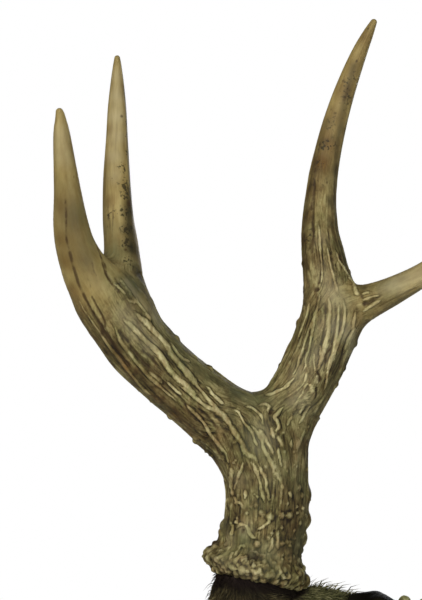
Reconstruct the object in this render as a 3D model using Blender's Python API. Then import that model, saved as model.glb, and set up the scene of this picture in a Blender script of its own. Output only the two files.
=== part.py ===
"""Deer antler wall mount: one antler on a hide-covered skull cap, screwed to a wooden plaque.

Metres, +Z up. The wall is the plane y = 0, the viewer stands on the -Y side, and the origin
is the middle of the plaque's back. Dimensions below are in millimetres, and MM converts them.
"""

import math

import bmesh
import bpy
import numpy as np
from mathutils import Vector, noise

MM = 0.001
TOUCH_GAP = 0.3  # between pieces that meet

PLAQUE_WIDTH = 170.0
PLAQUE_HEIGHT = 210.0
PLAQUE_THICKNESS = 20.0
PLAQUE_NOTCH = 16.0  # radius of the scooped upper corners
PLAQUE_SIDE_END = -12.0  # height where the straight sides end
PLAQUE_BELLY = 0.66  # how full the lower sides are, as a share of the way down
NOTCH_POINTS = 7
BELLY_POINTS = 14
BURR_AT = np.array([-32.0, -55.0, 121.0])  # middle of the antler's base, from the origin
TOWARDS_VIEWER = np.array([0.0, -1.0, 0.0])

# The antler's limbs. Each station is x, y, z from BURR_AT and the limb's radius there.
STATIONS = {
    "antler_base": [
        (0.5, 0, 0, 22),
        (2.5, 0, 10, 22),
        (4.5, -1, 23, 22),
        (6.5, -2, 39.5, 22),
        (6.5, -3, 56, 22),
        (4.5, -4, 70, 23),
        (2.5, -4, 80.5, 22),
    ],
    "left_branch": [
        (0, -4, 77, 20),
        (-12, -6, 85.5, 19.5),
        (-24.5, -10, 95, 18.5),
        (-37.5, -15, 106, 17.5),
        (-49.5, -20, 116.5, 17.5),
        (-63.5, -25, 131, 17.5),
        (-74, -29, 146, 17.5),
        (-80, -32, 155, 16.5),
    ],
    "right_branch": [
        (7, -4, 78.5, 19),
        (16, -5, 89.5, 16.5),
        (22.5, -6, 101.5, 16),
        (28.5, -7, 112.5, 16),
        (33.5, -8, 123.5, 16),
        (38, -9, 134.5, 16),
        (42.5, -9, 145, 14.5),
    ],
    "left_outer_tine": [
        (-80, -32, 155, 15),
        (-89.5, -36, 167, 13.5),
        (-96.5, -41, 182, 11),
        (-99.5, -46, 195.5, 9.5),
        (-101, -50, 211.5, 7.5),
        (-102.5, -54, 227.5, 6),
        (-104, -56, 243.5, 4.5),
        (-104.7, -57, 253, 2.7),
        (-105.2, -57, 255.7, 2),
    ],
    "left_back_tine": [
        (-77.5, -30, 155, 13),
        (-73, -22, 167.5, 10.5),
        (-73, -14, 182.5, 9.5),
        (-75, -8, 199, 8.5),
        (-76, -2, 221, 7.5),
        (-76, 3, 243, 6.1),
        (-76, 6, 262.5, 5),
        (-76, 8, 279.5, 3.1),
        (-76, 8, 288.6, 1.6),
    ],
    "right_tall_tine": [
        (42, -9, 145, 14),
        (40.5, -8, 160.5, 13.5),
        (37.5, -4, 177, 12),
        (35.5, 1, 193.5, 10),
        (36.5, 6, 213, 8.5),
        (39.5, 10, 232.5, 7.5),
        (44.5, 12, 253.5, 6.7),
        (51, 12, 274, 5.5),
        (57.5, 10, 291, 4.3),
        (62.5, 8, 302, 3),
        (65.6, 7, 308.4, 1.8),
    ],
    "right_side_tine": [
        (42.5, -9, 146.5, 12.5),
        (52, -12, 150, 11),
        (65, -17, 155.5, 8.8),
        (77.5, -23, 161.5, 7.4),
        (90, -30, 168.5, 6.3),
        (102, -37, 178, 5),
        (111, -43, 188.5, 3.8),
        (116, -47, 199, 2.2),
        (117.5, -48, 203, 1),
    ],
}
# The limb on the viewer's right of each fork, then the one on the left.
FORKS = {
    "antler_base": ("right_branch", "left_branch"),
    "left_branch": ("left_back_tine", "left_outer_tine"),
    "right_branch": ("right_side_tine", "right_tall_tine"),
}
SPLIT_AT = {  # how far up each limb its own piece starts, past the fork
    "right_branch": 36.0,
    "left_branch": 40.0,
    "left_back_tine": 26.0,
    "left_outer_tine": 26.0,
    "right_side_tine": 30.0,
    "right_tall_tine": 28.0,
}
FORK_WEBS = [  # these fill the main fork's crotch and carry the back tine's foot
    [(2.5, -4, 76, 22), (4.5, -5, 87, 14.5)],
    [(-73, -27, 152, 16), (-74, -23, 163, 13.2), (-74, -17, 173, 10.4)],
]
FORK_SOFTNESS = 2.6  # how far limbs melt into each other where they meet
BASE_COLUMNS = 48
SADDLE_COLUMNS = {48: 7, 32: 5}  # points over the crotch, by the loop that splits
RING_SPACING = 4.6
TINE_RING_SPACING = 8.5
BURR_RINGS = (0.0, 1.6, 3.6, 5.8, 8.2, 10.8, 13.6, 16.6, 20.0)
FORK_RINGS = 6

RIDGE_HEIGHT = 1.5  # of the long ridges that run up the beam
RIDGE_BIAS = 0.2
BURR_BEADS = 16
BURR_LUMPS = [  # up the beam, degrees round from the viewer, radius, height
    (17, -92, 7, 4.8),
    (30, -84, 6, 1.8),
    (26, -58, 5, 1.6),
    (28, 88, 5, 1.8),
    (37, 84, 5, 2.0),
    (49, 86, 6, 2.2),
    (41, 60, 4.5, 1.4),
    (44, -70, 5, 1.4),
    (33, 10, 5, 1.4),
    (40, 150, 6, 2.4),
    (24, 190, 6, 2.6),
    (52, 205, 6, 2.0),
]

# The hide over the skull cap, as limbs that melt together: x, y, z from BURR_AT and radius.
CAP_FORMS = [
    [(2, 33, -52, 25), (20, 33, -57, 29), (42, 33, -59, 31), (64, 33, -56, 28), (82, 33, -51, 21)],
    [(2, 4, -42, 26), (20, 3, -47, 29), (42, 3, -49, 30), (62, 3, -46, 26), (79, 5, -38, 16)],
    [(2, 4, -40, 25), (1, 1, -20, 20.5)],
    [(80, 6, -36, 15), (82, -5, -21, 9.5)],
    [(86, 22, -42, 13), (93, -3, -23, 9)],
    [(20, 0, -16, 10), (33, -1, -10.3, 9.8), (48, -2, -13, 9.5), (58, -2, -16, 9)],
    [(66, -18, -14, 6), (66, 2, -12.5, 6), (64, 16, -17.5, 7)],
]
CAP_SOFTNESS = 3.2
CAP_CENTRE = (32.0, -50.0)  # x and z from BURR_AT, on the plaque's face
CAP_COLUMNS = 36
CAP_RINGS = 11
COLLAR_PROFILE = [(0.0, 22.2), (3.0, 22.4), (9.5, 23.2), (20.0, 26.0), (28.0, 26.0)]  # depth, radius
COLLAR_COLUMNS = 32
BURR_CLEARANCE_RADIUS = 30.0  # the hide stays under the burr out to here

FLAP_THICKNESS = 2.2
FLAP_BED = 0.8  # how far its underside is off the cap's own surface
FLAP_MARGIN = 0.6  # degrees of clearance round its edge
FLAP_COLUMNS = 9
FLAP_ROWS = 9
FLAP_SWEEP = (43.5, 66.0)  # degrees round the cap's centre, from +X towards +Z
FLAP_REACH = (14.0, 60.0)  # degrees out of the plaque's face

HIDE_KNOBS = {  # centre from BURR_AT and radius
    "hide_knob_inner": (81.8, -9, -10.2, 3.6),
    "hide_knob_outer": (93.0, -5, -12.0, 3.8),
}

KEYHOLE_AT = 62.0  # height of the hanger plate above the origin
PLATE_LENGTH = 44.0
PLATE_WIDTH = 18.0
PLATE_THICKNESS = 1.6
KEYHOLE_ENTRY_RADIUS = 5.0
KEYHOLE_SLOT_RADIUS = 2.6
KEYHOLE_SLOT_LENGTH = 10.0
POCKET_SIZE = (12.0, 24.0, 9.0)  # width, length and depth behind the hanger plate
PLATE_SCREW_SPACING = 34.0
CAP_SCREWS = {"cap_screw_left": -28.0, "cap_screw_right": 24.0}  # x of each
CAP_SCREW_Z = 74.0
PLATE_SCREW = (3.0, 1.4, 13.0)  # head radius, shank radius, length
CAP_SCREW = (4.5, 2.1, 36.0)

MATERIALS = {  # colour, roughness, metallic
    "antler": ((0.33, 0.25, 0.12, 1), 0.5, 0.0),
    "tine": ((0.42, 0.33, 0.18, 1), 0.38, 0.0),
    "hide": ((0.045, 0.032, 0.02, 1), 0.9, 0.0),
    "flap": ((0.012, 0.011, 0.009, 1), 0.6, 0.0),
    "dried_hide": ((0.2, 0.17, 0.05, 1), 0.6, 0.0),
    "walnut": ((0.11, 0.055, 0.028, 1), 0.45, 0.0),
    "steel": ((0.5, 0.5, 0.48, 1), 0.35, 1.0),
}


def clear_scene():
    for obj in list(bpy.data.objects):
        bpy.data.objects.remove(obj, do_unlink=True)


def material(name):
    found = bpy.data.materials.get(name)
    if found:
        return found
    colour, roughness, metallic = MATERIALS[name]
    made = bpy.data.materials.new(name)
    made.use_nodes = True
    shader = made.node_tree.nodes["Principled BSDF"]
    shader.inputs["Base Color"].default_value = colour
    shader.inputs["Roughness"].default_value = roughness
    shader.inputs["Metallic"].default_value = metallic
    return made


def unit(v):
    return v / np.linalg.norm(v, axis=-1, keepdims=True)


def smooth_path(stations, per_span=5):
    """A Catmull-Rom curve through the stations, radius included."""
    p = np.array(stations, float)
    p = np.vstack([2 * p[0] - p[1], p, 2 * p[-1] - p[-2]])
    rows = []
    for a, b, c, d in zip(p[:-3], p[1:-2], p[2:-1], p[3:]):
        for t in np.arange(per_span) / per_span:
            rows.append(
                b
                + 0.5 * t * (c - a)
                + t**2 * (a - 2.5 * b + 2 * c - 0.5 * d)
                + t**3 * (1.5 * (b - c) + 0.5 * (d - a))
            )
    rows.append(p[-2])
    return np.array(rows)


def distance_to_path(points, path):
    """How far each point is outside a round limb that follows the path."""
    start, along = path[:-1], np.diff(path, axis=0)
    offset = points[:, None] - start[:, :3]
    share = (offset * along[:, :3]).sum(axis=2) / (along[:, :3] ** 2).sum(axis=1)
    share = np.clip(share, 0, 1)
    away = np.linalg.norm(offset - share[:, :, None] * along[:, :3], axis=2)
    return (away - start[:, 3] - share * along[:, 3]).min(axis=1)


class Form:
    """Round limbs that melt together: below 0 inside, 0 on the surface."""

    def __init__(self, paths, softness):
        self.paths = paths
        self.softness = softness

    def level(self, points):
        each = np.array([distance_to_path(points, path) for path in self.paths])
        low = each.min(axis=0)
        melted = np.log(np.exp((low - each) / self.softness).sum(axis=0))
        return low - self.softness * melted

    def surface(self, origins, directions, raised=0.0, steps=16):
        """Where rays from inside leave the form grown by raised."""
        travelled = np.zeros(len(directions))
        for _ in range(steps):
            here = origins + travelled[:, None] * directions
            travelled -= self.level(here) - raised
        return origins + travelled[:, None] * directions


class CapForm(Form):
    """The hide cap, cut off flat under the antler's burr."""

    def __init__(self, foot, upward):
        paths = [smooth_path([np.add(row, (*BURR_AT, 0)) for row in rows]) for rows in CAP_FORMS]
        super().__init__(paths, CAP_SOFTNESS)
        self.foot = foot - TOUCH_GAP * upward
        self.upward = upward

    def level(self, points):
        above = (points - self.foot) @ self.upward
        sideways = points - self.foot - above[:, None] * self.upward
        clear = BURR_CLEARANCE_RADIUS - np.linalg.norm(sideways, axis=1)
        return np.maximum(super().level(points), np.minimum(above, clear))


class Limb:
    def __init__(self, stations):
        self.path = smooth_path(stations)
        steps = np.linalg.norm(np.diff(self.path[:, :3], axis=0), axis=1)
        self.along = np.concatenate([[0], np.cumsum(steps)])
        self.length = self.along[-1]

    def centre(self, s):
        return np.array([np.interp(s, self.along, self.path[:, k]) for k in range(3)])

    def radius(self, s):
        return float(np.interp(s, self.along, self.path[:, 3]))

    def tangent(self, s, reach=1.5):
        ahead = self.centre(min(s + reach, self.length))
        behind = self.centre(max(s - reach, 0))
        return unit(ahead - behind)

    def directions(self, s, angles, lift=0.0):
        """Unit vectors round the limb. Angle 0 faces the viewer and 90 degrees is +X."""
        tangent = self.tangent(s)
        front = unit(TOWARDS_VIEWER - (TOWARDS_VIEWER @ tangent) * tangent)
        side = np.cross(tangent, front)
        flat = np.cos(angles)[:, None] * front + np.sin(angles)[:, None] * side
        return math.cos(lift) * flat + math.sin(lift) * tangent

    def angle_of(self, s, vector):
        tangent = self.tangent(s)
        front = unit(TOWARDS_VIEWER - (TOWARDS_VIEWER @ tangent) * tangent)
        return math.atan2(vector @ np.cross(tangent, front), vector @ front)


def bump(x):
    """1 at 0, falling smoothly to 0 at 1 and beyond."""
    return np.clip(1 - x**2, 0, 1) ** 2


def burr_relief(s, angle):
    """The knobbly collar at the antler's foot. It is highest on the left and low in front."""
    left = 0.5 - 0.5 * math.sin(angle)
    middle = 7.6 + 1.4 * left - 2.6 * max(0, math.cos(angle))
    collar = (5.0 + 2.6 * left) * bump((s - middle) / 11.5)
    tooth = 0.5 + 0.5 * math.cos(angle * BURR_BEADS)
    beads = 1.7 * tooth * bump((s - middle + 3.0) / 4.5)
    lumps = 0.0
    for up, degrees, radius, height in BURR_LUMPS:
        turn = math.remainder(angle - math.radians(degrees), math.tau)
        lumps += height * bump(math.hypot(s - up, 24 * turn) / radius)
    return collar + beads + lumps


def relief(growth, thickness=24.0):
    """Height of the ridges and knobs. growth is a fibre's place in the beam and its length."""
    heights = []
    for x, y, s in growth:
        coarse = noise.noise(Vector((x * 0.12, y * 0.12, s * 0.018)))
        fine = 0.5 - abs(noise.noise(Vector((x * 0.22 + 9, y * 0.22, s * 0.035))))
        worn = np.interp(s, (90, 160, 200), (1.0, 0.75, 0.2)) * min(1, thickness / 10)
        height = RIDGE_BIAS + worn * RIDGE_HEIGHT * (coarse + 1.4 * fine - 0.4)
        if s < 70:
            height += burr_relief(s, math.atan2(y, x))
        heights.append(height)
    return np.array(heights)


class Shell:
    """One closed mesh, joined loop by loop."""

    def __init__(self):
        self.mesh = bmesh.new()

    def loop(self, points):
        return [self.mesh.verts.new(p * MM) for p in points]

    def bridge(self, lower, upper):
        for i, corner in enumerate(lower):
            j = (i + 1) % len(lower)
            self.mesh.faces.new((corner, lower[j], upper[j], upper[i]))

    def cap(self, loop, centre, facing_up):
        middle = self.mesh.verts.new(centre * MM)
        for i, corner in enumerate(loop):
            following = loop[(i + 1) % len(loop)]
            pair = (corner, following) if facing_up else (following, corner)
            self.mesh.faces.new((middle, *pair))

    def finish(self, name, finish_name, smooth_angle=50.0):
        bmesh.ops.triangulate(self.mesh, faces=[f for f in self.mesh.faces if len(f.verts) > 3])
        data = bpy.data.meshes.new(name)
        self.mesh.to_mesh(data)
        self.mesh.free()
        data.shade_smooth()
        data.set_sharp_from_angle(angle=math.radians(smooth_angle))
        data.materials.append(material(finish_name))
        obj = bpy.data.objects.new(name, data)
        bpy.context.scene.collection.objects.link(obj)
        return obj


class Ring:
    """A loop of surface points, with the fibre that each one lies on."""

    def __init__(self, points, fibres, angles, s):
        self.points = points
        self.fibres = fibres
        self.angles = angles
        self.s = s


class Antler:
    def __init__(self):
        placed = {n: np.array(rows, float) for n, rows in STATIONS.items()}
        for rows in placed.values():
            rows[:, :3] += BURR_AT
        self.limbs = {name: Limb(rows) for name, rows in placed.items()}
        webs = [smooth_path([np.add(row, (*BURR_AT, 0)) for row in rows]) for rows in FORK_WEBS]
        paths = [limb.path for limb in self.limbs.values()]
        self.form = Form([*paths, *webs], FORK_SOFTNESS)

    def ring(self, limb, s, angles, fibres, grown, lift=0.0):
        directions = limb.directions(s, angles, lift)
        origins = np.repeat(limb.centre(s)[None], len(angles), axis=0)
        points = self.form.surface(origins, directions)
        growth = np.column_stack([fibres, np.full(len(angles), grown)])
        raised = relief(growth, limb.radius(s))
        return Ring(points + raised[:, None] * directions, fibres, angles, s)

    def limb_piece(self, name, shell, ring, loop, grown):
        """Carries a limb on from its first ring to its fork or its tip."""
        limb = self.limbs[name]
        is_tine = name not in FORKS
        spacing = TINE_RING_SPACING if is_tine else RING_SPACING
        steps = max(2, round((limb.length - ring.s) / spacing))
        stops = np.linspace(ring.s, limb.length, steps + 1)[1:]
        if name == "antler_base":
            above = [s for s in stops if s > BURR_RINGS[-1] + 2]
            stops = [*BURR_RINGS[1:], *above]
        for s in stops:
            following = self.ring(limb, s, ring.angles, ring.fibres, grown + s)
            upper = shell.loop(following.points)
            shell.bridge(loop, upper)
            ring, loop = following, upper
        if is_tine:
            self.tip(limb, shell, ring, loop, grown)
        else:
            self.fork(name, shell, ring, loop, grown)

    def tip(self, limb, shell, ring, loop, grown):
        lift = math.radians(45)
        dome = self.ring(limb, ring.s, ring.angles, ring.fibres, grown + ring.s, lift)
        upper = shell.loop(dome.points)
        shell.bridge(loop, upper)
        end = limb.centre(limb.length) + limb.tangent(limb.length) * limb.path[-1, 3]
        shell.cap(upper, end, facing_up=True)

    def fork(self, name, shell, ring, loop, grown):
        """Splits a loop into two over a saddle, and leads each half up to its own limb."""
        parent = self.limbs[name]
        right, left = (self.limbs[child] for child in FORKS[name])
        out_right = right.tangent(SPLIT_AT[FORKS[name][0]])
        out_left = left.tangent(SPLIT_AT[FORKS[name][1]])
        facing = unit(np.cross(out_left, out_right))
        if facing @ TOWARDS_VIEWER < 0:
            facing = -facing
        origin = parent.centre(ring.s)
        count = len(loop)
        turned = ring.angles - parent.angle_of(ring.s, facing)
        first = int(np.argmin(np.abs((turned + math.pi) % math.tau - math.pi)))
        order = [(first + i) % count for i in range(count)]
        half = count // 2
        over = SADDLE_COLUMNS[count]
        share = (np.arange(over) + 1)[:, None] / (over + 1)
        front = ring.points[order[0]]
        # the saddle runs from the front over the crotch to the back
        rise = unit(out_right + out_left)
        towards = unit(unit(front - origin) * np.cos(share * math.pi) + rise * np.sin(share * math.pi))
        origins = np.repeat(origin[None], over, axis=0)
        saddle_fibres = ring.fibres[order[0]] * (1 - share) + ring.fibres[order[half]] * share
        growth = np.column_stack([saddle_fibres, np.full(over, grown + ring.s)])
        saddle = self.form.surface(origins, towards) + relief(growth)[:, None] * towards
        saddle_loop = shell.loop(saddle)
        around = order + order[:1]
        sides = {
            FORKS[name][0]: (around[: half + 1], slice(None, None, -1)),
            FORKS[name][1]: (around[half:], slice(None)),
        }
        for child, (kept, way) in sides.items():
            points = np.vstack([ring.points[kept], saddle[way]])
            fibres = np.vstack([ring.fibres[kept], saddle_fibres[way]])
            first_loop = [loop[i] for i in kept] + saddle_loop[way]
            other = out_left if child == FORKS[name][0] else out_right
            self.lead_out(child, shell, origin, points, fibres, first_loop, other, grown + ring.s)

    def lead_out(self, name, shell, origin, points, fibres, loop, other, grown):
        """Turns a fork's half loop, step by step, into a flat ring across its own limb."""
        limb = self.limbs[name]
        split = SPLIT_AT[name]
        outward = -(other - (other @ limb.tangent(split)) * limb.tangent(split))
        count = len(loop)
        kept = count - SADDLE_COLUMNS[self.parent_count(count)]
        turn = math.tau / count
        angles = limb.angle_of(split, outward) + (np.arange(count) - (kept - 1) / 2) * turn
        start = unit(points - origin)
        for step in range(1, FORK_RINGS + 1):
            share = step / FORK_RINGS
            s = split * share
            ease = share * share * (3 - 2 * share)
            across = limb.directions(s, angles)
            directions = unit((1 - ease) * start + ease * across)
            middle = origin + (limb.centre(s) - origin) * min(1, share * 2)
            origins = np.repeat(middle[None], count, axis=0)
            reached = self.form.surface(origins, directions)
            growth = np.column_stack([fibres, np.full(count, grown + s)])
            reached = reached + relief(growth)[:, None] * directions
            upper = shell.loop(reached)
            shell.bridge(loop, upper)
            loop = upper
        shell.cap(loop, limb.centre(split), facing_up=True)
        lifted = reached + TOUCH_GAP * limb.tangent(split)
        piece = Shell()
        foot = piece.loop(lifted)
        piece.cap(foot, limb.centre(split) + TOUCH_GAP * limb.tangent(split), facing_up=False)
        self.limb_piece(name, piece, Ring(lifted, fibres, angles, split), foot, grown)
        piece.finish(name, "antler" if name in FORKS else "tine")

    @staticmethod
    def parent_count(count):
        """The size of the loop whose half, with its saddle, makes one of this size."""
        for whole, over in SADDLE_COLUMNS.items():
            if whole // 2 + 1 + over == count:
                return whole
        raise ValueError(f"no loop splits into loops of {count}")

    def build(self):
        base = self.limbs["antler_base"]
        angles = np.arange(BASE_COLUMNS) * math.tau / BASE_COLUMNS
        fibres = base.path[0, 3] * np.column_stack([np.cos(angles), np.sin(angles)])
        first = self.ring(base, 0.0, angles, fibres, 0.0)
        shell = Shell()
        loop = shell.loop(first.points)
        shell.cap(loop, base.centre(0), facing_up=False)
        self.limb_piece("antler_base", shell, first, loop, 0.0)
        shell.finish("antler_base", "antler")
        return base


def cap_directions(sweep, reach):
    """Unit vectors from the cap's centre. reach turns them out of the plaque's face."""
    flat = np.column_stack([np.cos(sweep), np.zeros(len(sweep)), np.sin(sweep)])
    return np.cos(reach)[:, None] * flat + np.sin(reach)[:, None] * TOWARDS_VIEWER


def cap_origin():
    face = -PLAQUE_THICKNESS - TOUCH_GAP
    return np.array([BURR_AT[0] + CAP_CENTRE[0], face, BURR_AT[2] + CAP_CENTRE[1]])


def build_hide_cap(form):
    origin = cap_origin()
    shell = Shell()
    sweep = -np.arange(CAP_COLUMNS) * math.tau / CAP_COLUMNS
    loop = None
    for step in range(CAP_RINGS):
        reach = np.full(CAP_COLUMNS, math.radians(84) * step / (CAP_RINGS - 1))
        origins = np.repeat(origin[None], CAP_COLUMNS, axis=0)
        points = form.surface(origins, cap_directions(sweep, reach))
        upper = shell.loop(points)
        if loop:
            shell.bridge(loop, upper)
        else:
            shell.cap(upper, origin, facing_up=False)
        loop = upper
    pole = form.surface(origin[None], TOWARDS_VIEWER[None])[0]
    shell.cap(loop, pole, facing_up=True)
    cap = shell.finish("hide_cap", "hide")
    combine(cap, build_collar(form), "UNION")
    return cap


def build_collar(form):
    """The hide round the stump of bone that carries the antler."""
    side = unit(np.cross(TOWARDS_VIEWER, form.upward))
    front = np.cross(form.upward, side)
    turns = -np.arange(COLLAR_COLUMNS) * math.tau / COLLAR_COLUMNS
    shell = Shell()
    loop = None
    for depth, radius in COLLAR_PROFILE:
        centre = form.foot - depth * form.upward
        flat = np.cos(turns)[:, None] * side + np.sin(turns)[:, None] * front
        upper = shell.loop(centre + radius * flat)
        if loop:
            shell.bridge(loop, upper)
        else:
            shell.cap(upper, centre, facing_up=False)
        loop = upper
    shell.cap(loop, centre, facing_up=True)
    bmesh.ops.recalc_face_normals(shell.mesh, faces=shell.mesh.faces)
    return shell.finish("hide_collar", "hide")


def padded(turns, margin):
    return np.concatenate([[turns[0] - margin], turns, [turns[-1] + margin]])


def curved_sheet(name, form, sweep, reach, inner, outer):
    """A patch of the cap's surface, thickened between two heights above it."""
    origin = cap_origin()
    grid = np.array(np.meshgrid(np.radians(sweep), np.radians(reach))).reshape(2, -1)
    directions = cap_directions(*grid)
    origins = np.repeat(origin[None], len(directions), axis=0)
    columns, rows = len(sweep), len(reach)
    shell = Shell()
    sides = []
    for raised in (inner, outer):
        verts = shell.loop(form.surface(origins, directions, raised))
        sides.append([verts[r * columns : (r + 1) * columns] for r in range(rows)])
    for side in sides:
        for near, far in zip(side[:-1], side[1:]):
            for c in range(columns - 1):
                shell.mesh.faces.new((near[c], near[c + 1], far[c + 1], far[c]))
    under, over = sides
    shell.bridge(rim_of(under), rim_of(over))
    bmesh.ops.recalc_face_normals(shell.mesh, faces=shell.mesh.faces)
    return shell.finish(name, "flap")


def build_flap(form, hide_cap):
    """The bare flap of hide that is folded over the cap's right shoulder."""
    sweep = np.linspace(*FLAP_SWEEP, FLAP_COLUMNS)
    reach = np.linspace(*FLAP_REACH, FLAP_ROWS)
    curved_sheet("hide_flap", form, sweep, reach, FLAP_BED, FLAP_BED + FLAP_THICKNESS)
    wide, tall = padded(sweep, FLAP_MARGIN), padded(reach, FLAP_MARGIN)
    bed = curved_sheet("flap_bed", form, wide, tall, FLAP_BED - TOUCH_GAP, FLAP_BED + 3 * FLAP_THICKNESS)
    combine(hide_cap, bed)


def rim_of(grid):
    top, bottom = grid[-1], grid[0]
    right = [row[-1] for row in grid[1:-1]]
    left = [row[0] for row in grid[1:-1]]
    return bottom + right + top[::-1] + left[::-1]


def knob_solid(name, x, y, z, radius):
    """A dried, bare knob of hide, slightly lumpy."""
    shell = Shell()
    bmesh.ops.create_icosphere(shell.mesh, subdivisions=2, radius=1.0)
    centre = Vector(BURR_AT) + Vector((x, y, z))
    for vert in shell.mesh.verts:
        lump = 1 + 0.12 * noise.noise(vert.co * 2.3 + centre)
        vert.co = (centre + vert.co * radius * lump) * MM
    return shell.finish(name, "dried_hide")


def arc(centre, radius, start, end, count):
    turns = np.radians(np.linspace(start, end, count))
    return [(centre[0] + radius * math.cos(t), centre[1] + radius * math.sin(t)) for t in turns]


def shield_outline():
    """Half of the shield from its top middle down the right side, then its mirror."""
    half, top = PLAQUE_WIDTH / 2, PLAQUE_HEIGHT / 2
    corner = arc((half, top), PLAQUE_NOTCH, 180, 270, NOTCH_POINTS)
    start = np.array((half, PLAQUE_SIDE_END))
    pull = np.array((half, -top * PLAQUE_BELLY))
    point = np.array((0.0, -top))
    shares = np.linspace(0, 1, BELLY_POINTS)[:, None]
    belly = (1 - shares) ** 2 * start + 2 * shares * (1 - shares) * pull + shares**2 * point
    right = [*corner, *map(tuple, belly)]
    return np.array(right + [(-x, z) for x, z in right[-2::-1]])


def inset(outline, distance):
    """The outline moved inwards by the same distance all round."""
    before, after = np.roll(outline, 1, axis=0), np.roll(outline, -1, axis=0)
    along_in, along_out = unit(outline - before), unit(after - outline)
    normal_in = np.column_stack([along_in[:, 1], -along_in[:, 0]])
    normal_out = np.column_stack([along_out[:, 1], -along_out[:, 0]])
    mitre = unit(normal_in + normal_out)
    scale = 1 / np.maximum((mitre * normal_out).sum(axis=1), 0.5)
    return outline + mitre * (distance * scale)[:, None]


def cylinder(name, centre, radius, length, sides):
    """A round bar along Y, from the centre's y towards the viewer."""
    mesh = bmesh.new()
    size = radius * MM
    bmesh.ops.create_cone(
        mesh, cap_ends=True, segments=sides, radius1=size, radius2=size, depth=length * MM
    )
    for vert in mesh.verts:
        x, y, z = vert.co
        vert.co = (centre[0] * MM + x, (centre[1] - length / 2) * MM - z, centre[2] * MM + y)
    data = bpy.data.meshes.new(name)
    mesh.to_mesh(data)
    mesh.free()
    obj = bpy.data.objects.new(name, data)
    bpy.context.scene.collection.objects.link(obj)
    return obj


def box(name, low, high):
    mesh = bmesh.new()
    bmesh.ops.create_cube(mesh, size=1.0)
    low, high = Vector(low) * MM, Vector(high) * MM
    for vert in mesh.verts:
        vert.co = [low[k] + (vert.co[k] + 0.5) * (high[k] - low[k]) for k in range(3)]
    data = bpy.data.meshes.new(name)
    mesh.to_mesh(data)
    mesh.free()
    obj = bpy.data.objects.new(name, data)
    bpy.context.scene.collection.objects.link(obj)
    return obj


def combine(target, tool, operation="DIFFERENCE"):
    """Cuts or joins with a hidden tool that stays in the file."""
    tool.hide_render = True
    tool.display_type = "WIRE"
    modifier = target.modifiers.new(tool.name, "BOOLEAN")
    modifier.operation = operation
    modifier.object = tool
    modifier.solver = "EXACT"


def slab(name, outline, top_y, bottom_y, finish_name):
    """A flat piece of the given x, z outline between two depths."""
    shell = Shell()
    lower = shell.loop([np.array((x, top_y, z)) for x, z in outline])
    upper = shell.loop([np.array((x, bottom_y, z)) for x, z in outline])
    shell.bridge(lower, upper)
    shell.mesh.faces.new(lower[::-1])
    shell.mesh.faces.new(upper)
    bmesh.ops.recalc_face_normals(shell.mesh, faces=shell.mesh.faces)
    return shell.finish(name, finish_name, smooth_angle=30.0)


def build_plaque():
    outline = shield_outline()
    profile = [  # depth from the wall and how far the edge is drawn in: an ogee at the front
        (0.0, 1.0),
        (1.0, 0.0),
        (11.0, 0.0),
        (12.0, 2.0),
        (16.0, 3.6),
        (18.6, 7.4),
        (PLAQUE_THICKNESS, 8.6),
    ]
    shell = Shell()
    loops = []
    for depth, drawn in profile:
        row = inset(outline, drawn)
        loops.append(shell.loop([np.array((x, -depth, z)) for x, z in row]))
    for lower, upper in zip(loops[:-1], loops[1:]):
        shell.bridge(lower, upper)
    shell.mesh.faces.new(loops[0][::-1])
    shell.mesh.faces.new(loops[-1])
    bmesh.ops.recalc_face_normals(shell.mesh, faces=shell.mesh.faces)
    plaque = shell.finish("plaque", "walnut", smooth_angle=40.0)
    cut_hanger_recess(plaque)
    return plaque


def stadium(width, length, grow=0.0, count=7):
    """An upright plate outline with round ends, middle at KEYHOLE_AT."""
    radius = width / 2 + grow
    straight = length / 2 - width / 2
    upper = arc((0, KEYHOLE_AT + straight), radius, 180, 0, count)
    lower = arc((0, KEYHOLE_AT - straight), radius, 0, -180, count)
    return np.array(upper + lower)


def cut_hanger_recess(plaque):
    plate_bed = slab(
        "plate_bed",
        stadium(PLATE_WIDTH, PLATE_LENGTH, grow=TOUCH_GAP),
        1.0,
        -PLATE_THICKNESS - TOUCH_GAP,
        "walnut",
    )
    pocket = slab(
        "head_pocket",
        stadium(*POCKET_SIZE[:2]),
        1.0,
        -PLATE_THICKNESS - POCKET_SIZE[2],
        "walnut",
    )
    combine(plaque, plate_bed)
    combine(plaque, pocket)


def build_keyhole_plate():
    plate = slab("keyhole_plate", stadium(PLATE_WIDTH, PLATE_LENGTH), 0.0, -PLATE_THICKNESS, "steel")
    entry_z = KEYHOLE_AT - KEYHOLE_SLOT_LENGTH / 2
    slot_top = entry_z + KEYHOLE_SLOT_LENGTH
    length = PLATE_THICKNESS + 2
    combine(plate, cylinder("keyhole_entry", (0, 1, entry_z), KEYHOLE_ENTRY_RADIUS, length, 16))
    combine(plate, cylinder("keyhole_slot_end", (0, 1, slot_top), KEYHOLE_SLOT_RADIUS, length, 12))
    reach = KEYHOLE_SLOT_RADIUS * 0.995
    slot = box("keyhole_slot", (-reach, 1 - length, entry_z), (reach, 1, slot_top))
    combine(plate, slot)
    return plate


def lathe(name, x, z, profile, sides=12):
    """A round solid along Y. The profile is pairs of depth from the wall and radius."""
    shell = Shell()
    turns = np.arange(sides) * math.tau / sides
    loops = []
    for depth, radius in profile:
        row = [np.array((x + radius * math.cos(t), -depth, z + radius * math.sin(t))) for t in turns]
        loops.append(shell.loop(row))
    for lower, upper in zip(loops[:-1], loops[1:]):
        shell.bridge(lower, upper)
    shell.mesh.faces.new(loops[0][::-1])
    shell.mesh.faces.new(loops[-1])
    bmesh.ops.recalc_face_normals(shell.mesh, faces=shell.mesh.faces)
    return shell.finish(name, "steel", smooth_angle=35.0)


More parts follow.
